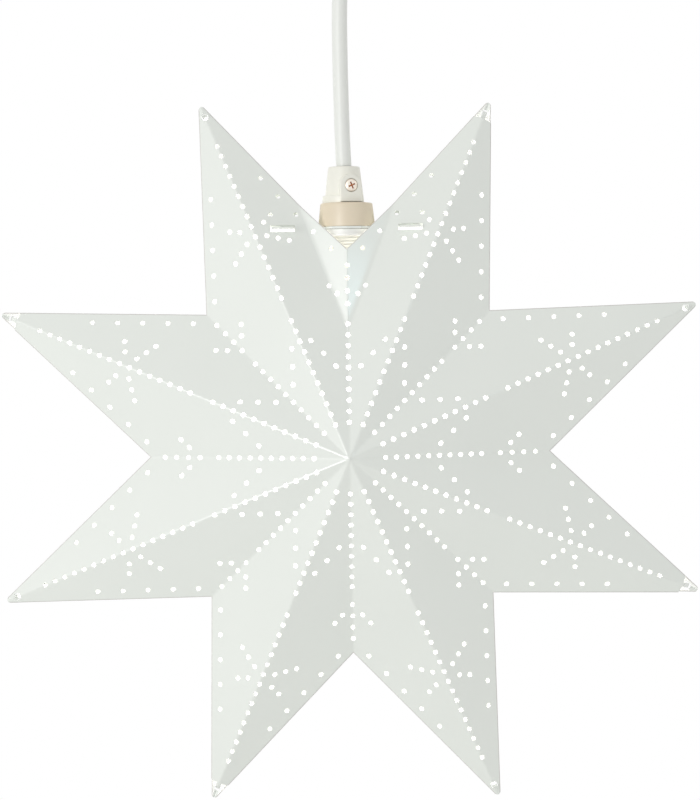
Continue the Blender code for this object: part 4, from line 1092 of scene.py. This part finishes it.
class STARLAMP_OT_ceiling(bpy.types.Operator):
    """Builds the ceiling cup with its side screws and the bush that holds the cord"""
    bl_idname = "starlamp.ceiling"
    bl_label = "Ceiling fitting"

    def execute(self, context):
        settings = context.scene.star_ceiling
        mat = moulded_plastic("moulded_white_ceiling_cup", settings.cup, 0.30, 0.0006)
        zinc = plated_metal("zinc_plated_steel_strap", linear("C6C8CA"), 0.36, 0.0014, (1, 4, 1))
        self.cup(settings, mat)
        self.bush(mat)
        for name, side in (("cup_screw_left", -1), ("cup_screw_right", 1)):
            self.side_screw(name, side, zinc)
        dress(zinc, "ceiling_plate", "bush_nut")
        return {'FINISHED'}

    def cup(self, settings, mat):
        low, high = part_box("ceiling_cup")
        rim, wall = high.x, settings.wall
        deep = (high.z - low.z) * CUP_DOME_SHARE
        steps = 20
        outer = [(rim, high.z)]
        inner = [(rim - wall, high.z)]
        for i in range(steps + 1):
            turn = math.pi / 2 * i / steps
            across, down = (rim - CUP_BASE_R) * math.cos(turn), deep * (1 - math.sin(turn))
            outer.append((CUP_BASE_R + across, low.z + down))
            inner.append((CUP_BASE_R - wall + across, low.z + wall + down))
        profile = outer + [(CUP_BORE_R, low.z), (CUP_BORE_R, low.z + wall)] + inner[::-1]
        cup = turned(profile, settings.steps, ORIGIN)
        for side in (-1, 1):
            at = (Matrix.Translation((side * rim, 0, CUP_SCREW_Z))
                  @ Matrix.Rotation(math.pi / 2, 4, 'Y'))
            cut(cup, rod(CUP_SCREW_BORE_R, 4 * wall + 2 * OVERRUN, at, 32))
        belongs(finished(cup, "canopy_cup", mat), "ceiling", "ceiling_cup")

    def bush(self, mat):
        low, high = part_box("ceiling_bush")
        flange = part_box("ceiling_cup")[0].z - GAP
        throat = SLOTS.z + CORD_ROUTE[-1][1]
        profile = rounded([
            (BUSH_NECK_R, high.z, 0.0004), (BUSH_NECK_R, flange, 0.0), (high.x, flange, 0.0012),
            (high.x, low.z, 0.0008), (BUSH_MOUTH_R, low.z, 0.0010),
            (BUSH_THROAT_R, throat, 0.0008), (BUSH_THROAT_R, high.z, 0.0003)], steps=6)
        belongs(finished(turned(profile, 96, ORIGIN), "cord_bush", mat), "ceiling",
                "ceiling_bush")

    def side_screw(self, name, side, mat):
        low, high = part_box(name)
        inner, reach = sorted((abs(low.x), abs(high.x)))
        head_r = (high.z - low.z) / 2
        head_in = reach - CUP_SCREW_HEAD_T
        profile = rounded([(0, reach, 0), (head_r * 0.6, reach, 0.0008),
                           (head_r, head_in + 0.0006, 0.0006), (head_r, head_in, 0.0001),
                           (CUP_SCREW_SHANK_R, head_in, 0), (CUP_SCREW_SHANK_R, inner, 0.0002),
                           (0, inner, 0)])
        place = (Matrix.Translation((0, 0, (low.z + high.z) / 2))
                 @ Matrix.Rotation(side * math.pi / 2, 4, 'Y'))
        screw = turned(profile, 48, ORIGIN, ring=False)
        screw.matrix_world = place
        wide, deep = CUP_SCREW_SLOT
        cut(screw, block((wide, 2 * head_r, deep), place @ Matrix.Translation((0, 0, reach))))
        belongs(finished(screw, "side_" + name, mat), "ceiling", name)


# The stage

# What only gloss shows: the way from the star, the size, the share of the power, the colour
PANELS = (("tall_panel", (-0.50, -0.865, 0.03), (0.25, 0.70), 1.0, "FFFFFF"),
          ("blue_panel", (0.47, -0.81, 0.34), (0.07, 0.22), 0.055, "BFE6F2"),
          ("white_panel", (-0.47, -0.81, 0.34), (0.30, 0.30), 0.085, "FFFFFF"))
PANELS_FAR = 1.5
WINDOW_WAY = (-0.72, -0.69, 0.10)
WINDOW_FAR = 1.6
WINDOW_SIZE = (0.9, 0.9)
AIM = (0.013, 1.416, -0.922)    # the camera's yaw, pitch and roll past the star's centre


class STARLAMP_OT_stage(bpy.types.Operator):
    """Sets up the camera, the lights, the white surroundings and the pale floor"""
    bl_idname = "starlamp.stage"
    bl_label = "Stage"

    def execute(self, context):
        scene = context.scene
        settings = scene.star_stage
        scene.view_settings.view_transform = 'Standard'
        centre = Blank(scene.star_pressings).centre
        self.camera(scene, settings, centre)
        window = self.panel("window_light", WINDOW_WAY, WINDOW_FAR, WINDOW_SIZE,
                            settings.key_power, "FFFFFF", centre)
        window.visible_glossy = False
        for name, way, size, share, code in PANELS:
            glint = self.panel(name, way, PANELS_FAR, size, settings.glint * share, code, centre)
            glint.visible_camera = glint.visible_diffuse = False
            glint.visible_transmission = False
        self.surroundings(scene, settings)
        self.floor(settings)
        return {'FINISHED'}

    def camera(self, scene, settings, centre):
        """Looks a little above the star, rolled slightly, as the picture was taken."""
        yaw, pitch, roll = (math.radians(a) for a in AIM)
        az, el = settings.azimuth, settings.elevation
        back = Vector((math.sin(az) * math.cos(el), -math.cos(az) * math.cos(el), math.sin(el)))
        up = Vector((0, 0, 1))
        right = (-back).cross(up).normalized()
        rise = right.cross(-back)
        look = (-back + right * math.tan(yaw) + rise * math.tan(pitch)).normalized()
        right = look.cross(up).normalized()
        rise = right.cross(look)
        x_axis = right * math.cos(roll) + rise * math.sin(roll)
        y_axis = rise * math.cos(roll) - right * math.sin(roll)
        data = bpy.data.cameras.new("camera")
        data.lens = settings.lens
        data.sensor_width = 36
        data.clip_start = 0.05
        camera = placed("camera", data)
        turn = Matrix((x_axis, y_axis, -look)).transposed().to_4x4()
        camera.matrix_world = Matrix.Translation(centre + back * settings.distance) @ turn
        scene.camera = camera

    def panel(self, name, way, far, size, power, code, centre):
        """A flat light that faces the star from a way and distance."""
        data = bpy.data.lights.new(name, 'AREA')
        data.shape = 'RECTANGLE'
        data.size, data.size_y = size
        data.energy = power
        data.color = linear(code)
        light = placed(name, data)
        way = Vector(way).normalized()
        light.location = centre + way * far
        light.rotation_euler = way.to_track_quat('Z', 'Y').to_euler()
        return light

    def surroundings(self, scene, settings):
        """White to the eye and in reflections, and a plain even light on everything else."""
        world = bpy.data.worlds.new("pale_room")
        world.use_nodes = True
        tree = world.node_tree
        tree.nodes.clear()
        ray = add_node(tree, "LightPath").outputs
        seen = ray["Is Camera Ray"]
        for kind in ("Is Glossy Ray", "Is Transmission Ray"):
            seen = add_node(tree, "Math", {}, {0: seen, 1: ray[kind]}, operation='MAXIMUM')
        strength = add_node(tree, "MapRange", {"To Min": settings.ambient, "To Max": 1.0},
                            {"Value": seen})
        back = add_node(tree, "Background", {"Color": (1, 1, 1, 1)}, {"Strength": strength})
        add_node(tree, "OutputWorld", {}, {"Surface": back})
        scene.world = world

    def floor(self, settings):
        """Matt painted board that takes the shadow and fades to white at its edge."""
        bm = bmesh.new()
        radius = settings.floor_radius
        bmesh.ops.create_circle(bm, cap_ends=True, segments=96, radius=radius)
        floor = placed("pale_floor", mesh_of(bm, "pale_floor"))
        floor.location = (0, 0, -settings.floor_drop)
        mat, tree, shader, place, _, _ = grained(
            "matt_painted_board", settings.floor, {"Roughness": 0.8}, 0.004, 3.0, 0.1, 0.0002)
        reach = add_node(tree, "VectorMath", {}, {0: place}, operation='LENGTH')
        edge = add_node(tree, "MapRange", {"From Min": radius * 0.45, "From Max": radius * 0.98},
                        {"Value": reach.outputs["Value"]}, interpolation_type='SMOOTHSTEP')
        white = add_node(tree, "Emission", {"Color": (1, 1, 1, 1), "Strength": 1.0})
        mix = add_node(tree, "MixShader", {}, {0: edge, 1: shader, 2: white})
        wire(tree.nodes["Material Output"], {"Surface": mix})
        floor.data.materials.append(mat)


class STARLAMP_PT_panel(bpy.types.Panel):
    """Lists the pieces of the star lamp and their sizes and colours"""
    bl_idname = "STARLAMP_PT_panel"
    bl_label = "Star lamp"
    bl_space_type = 'VIEW_3D'
    bl_region_type = 'UI'
    bl_category = "Star lamp"

    def draw(self, context):
        for group, (kind, operators) in GROUPS.items():
            box = self.layout.box()
            for name in kind.__annotations__:
                box.prop(getattr(context.scene, group), name)
            for operator in operators:
                box.operator(operator.bl_idname)


# Each group of settings, and the operators that build from it
GROUPS = {
    "star_stage": (StageSettings, (STARLAMP_OT_stage,)),
    "star_cord": (CordSettings, (STARLAMP_OT_cord,)),
    "star_pressings": (PressingSettings, (STARLAMP_OT_pressings,)),
    "star_holder": (HolderSettings, (STARLAMP_OT_holder, STARLAMP_OT_cap, STARLAMP_OT_contacts)),
    "star_bulb": (BulbSettings, (STARLAMP_OT_bulb,)),
    "star_ceiling": (CeilingSettings, (STARLAMP_OT_ceiling,)),
}
CLASSES = [kind for settings, operators in GROUPS.values() for kind in (settings, *operators)]
CLASSES.append(STARLAMP_PT_panel)


def register():
    for kind in CLASSES:
        bpy.utils.register_class(kind)
    for name, (kind, _) in GROUPS.items():
        setattr(bpy.types.Scene, name, PointerProperty(type=kind))


def unregister():
    for name in GROUPS:
        delattr(bpy.types.Scene, name)
    for kind in reversed(CLASSES):
        bpy.utils.unregister_class(kind)


def main():
    register()
    bpy.ops.starlamp.stage()
    bpy.ops.starlamp.ceiling()
    bpy.ops.starlamp.cord()
    bpy.ops.starlamp.pressings()
    bpy.ops.starlamp.holder()
    bpy.ops.starlamp.cap()
    bpy.ops.starlamp.contacts()
    bpy.ops.starlamp.bulb()


if __name__ == "__main__":
    main()
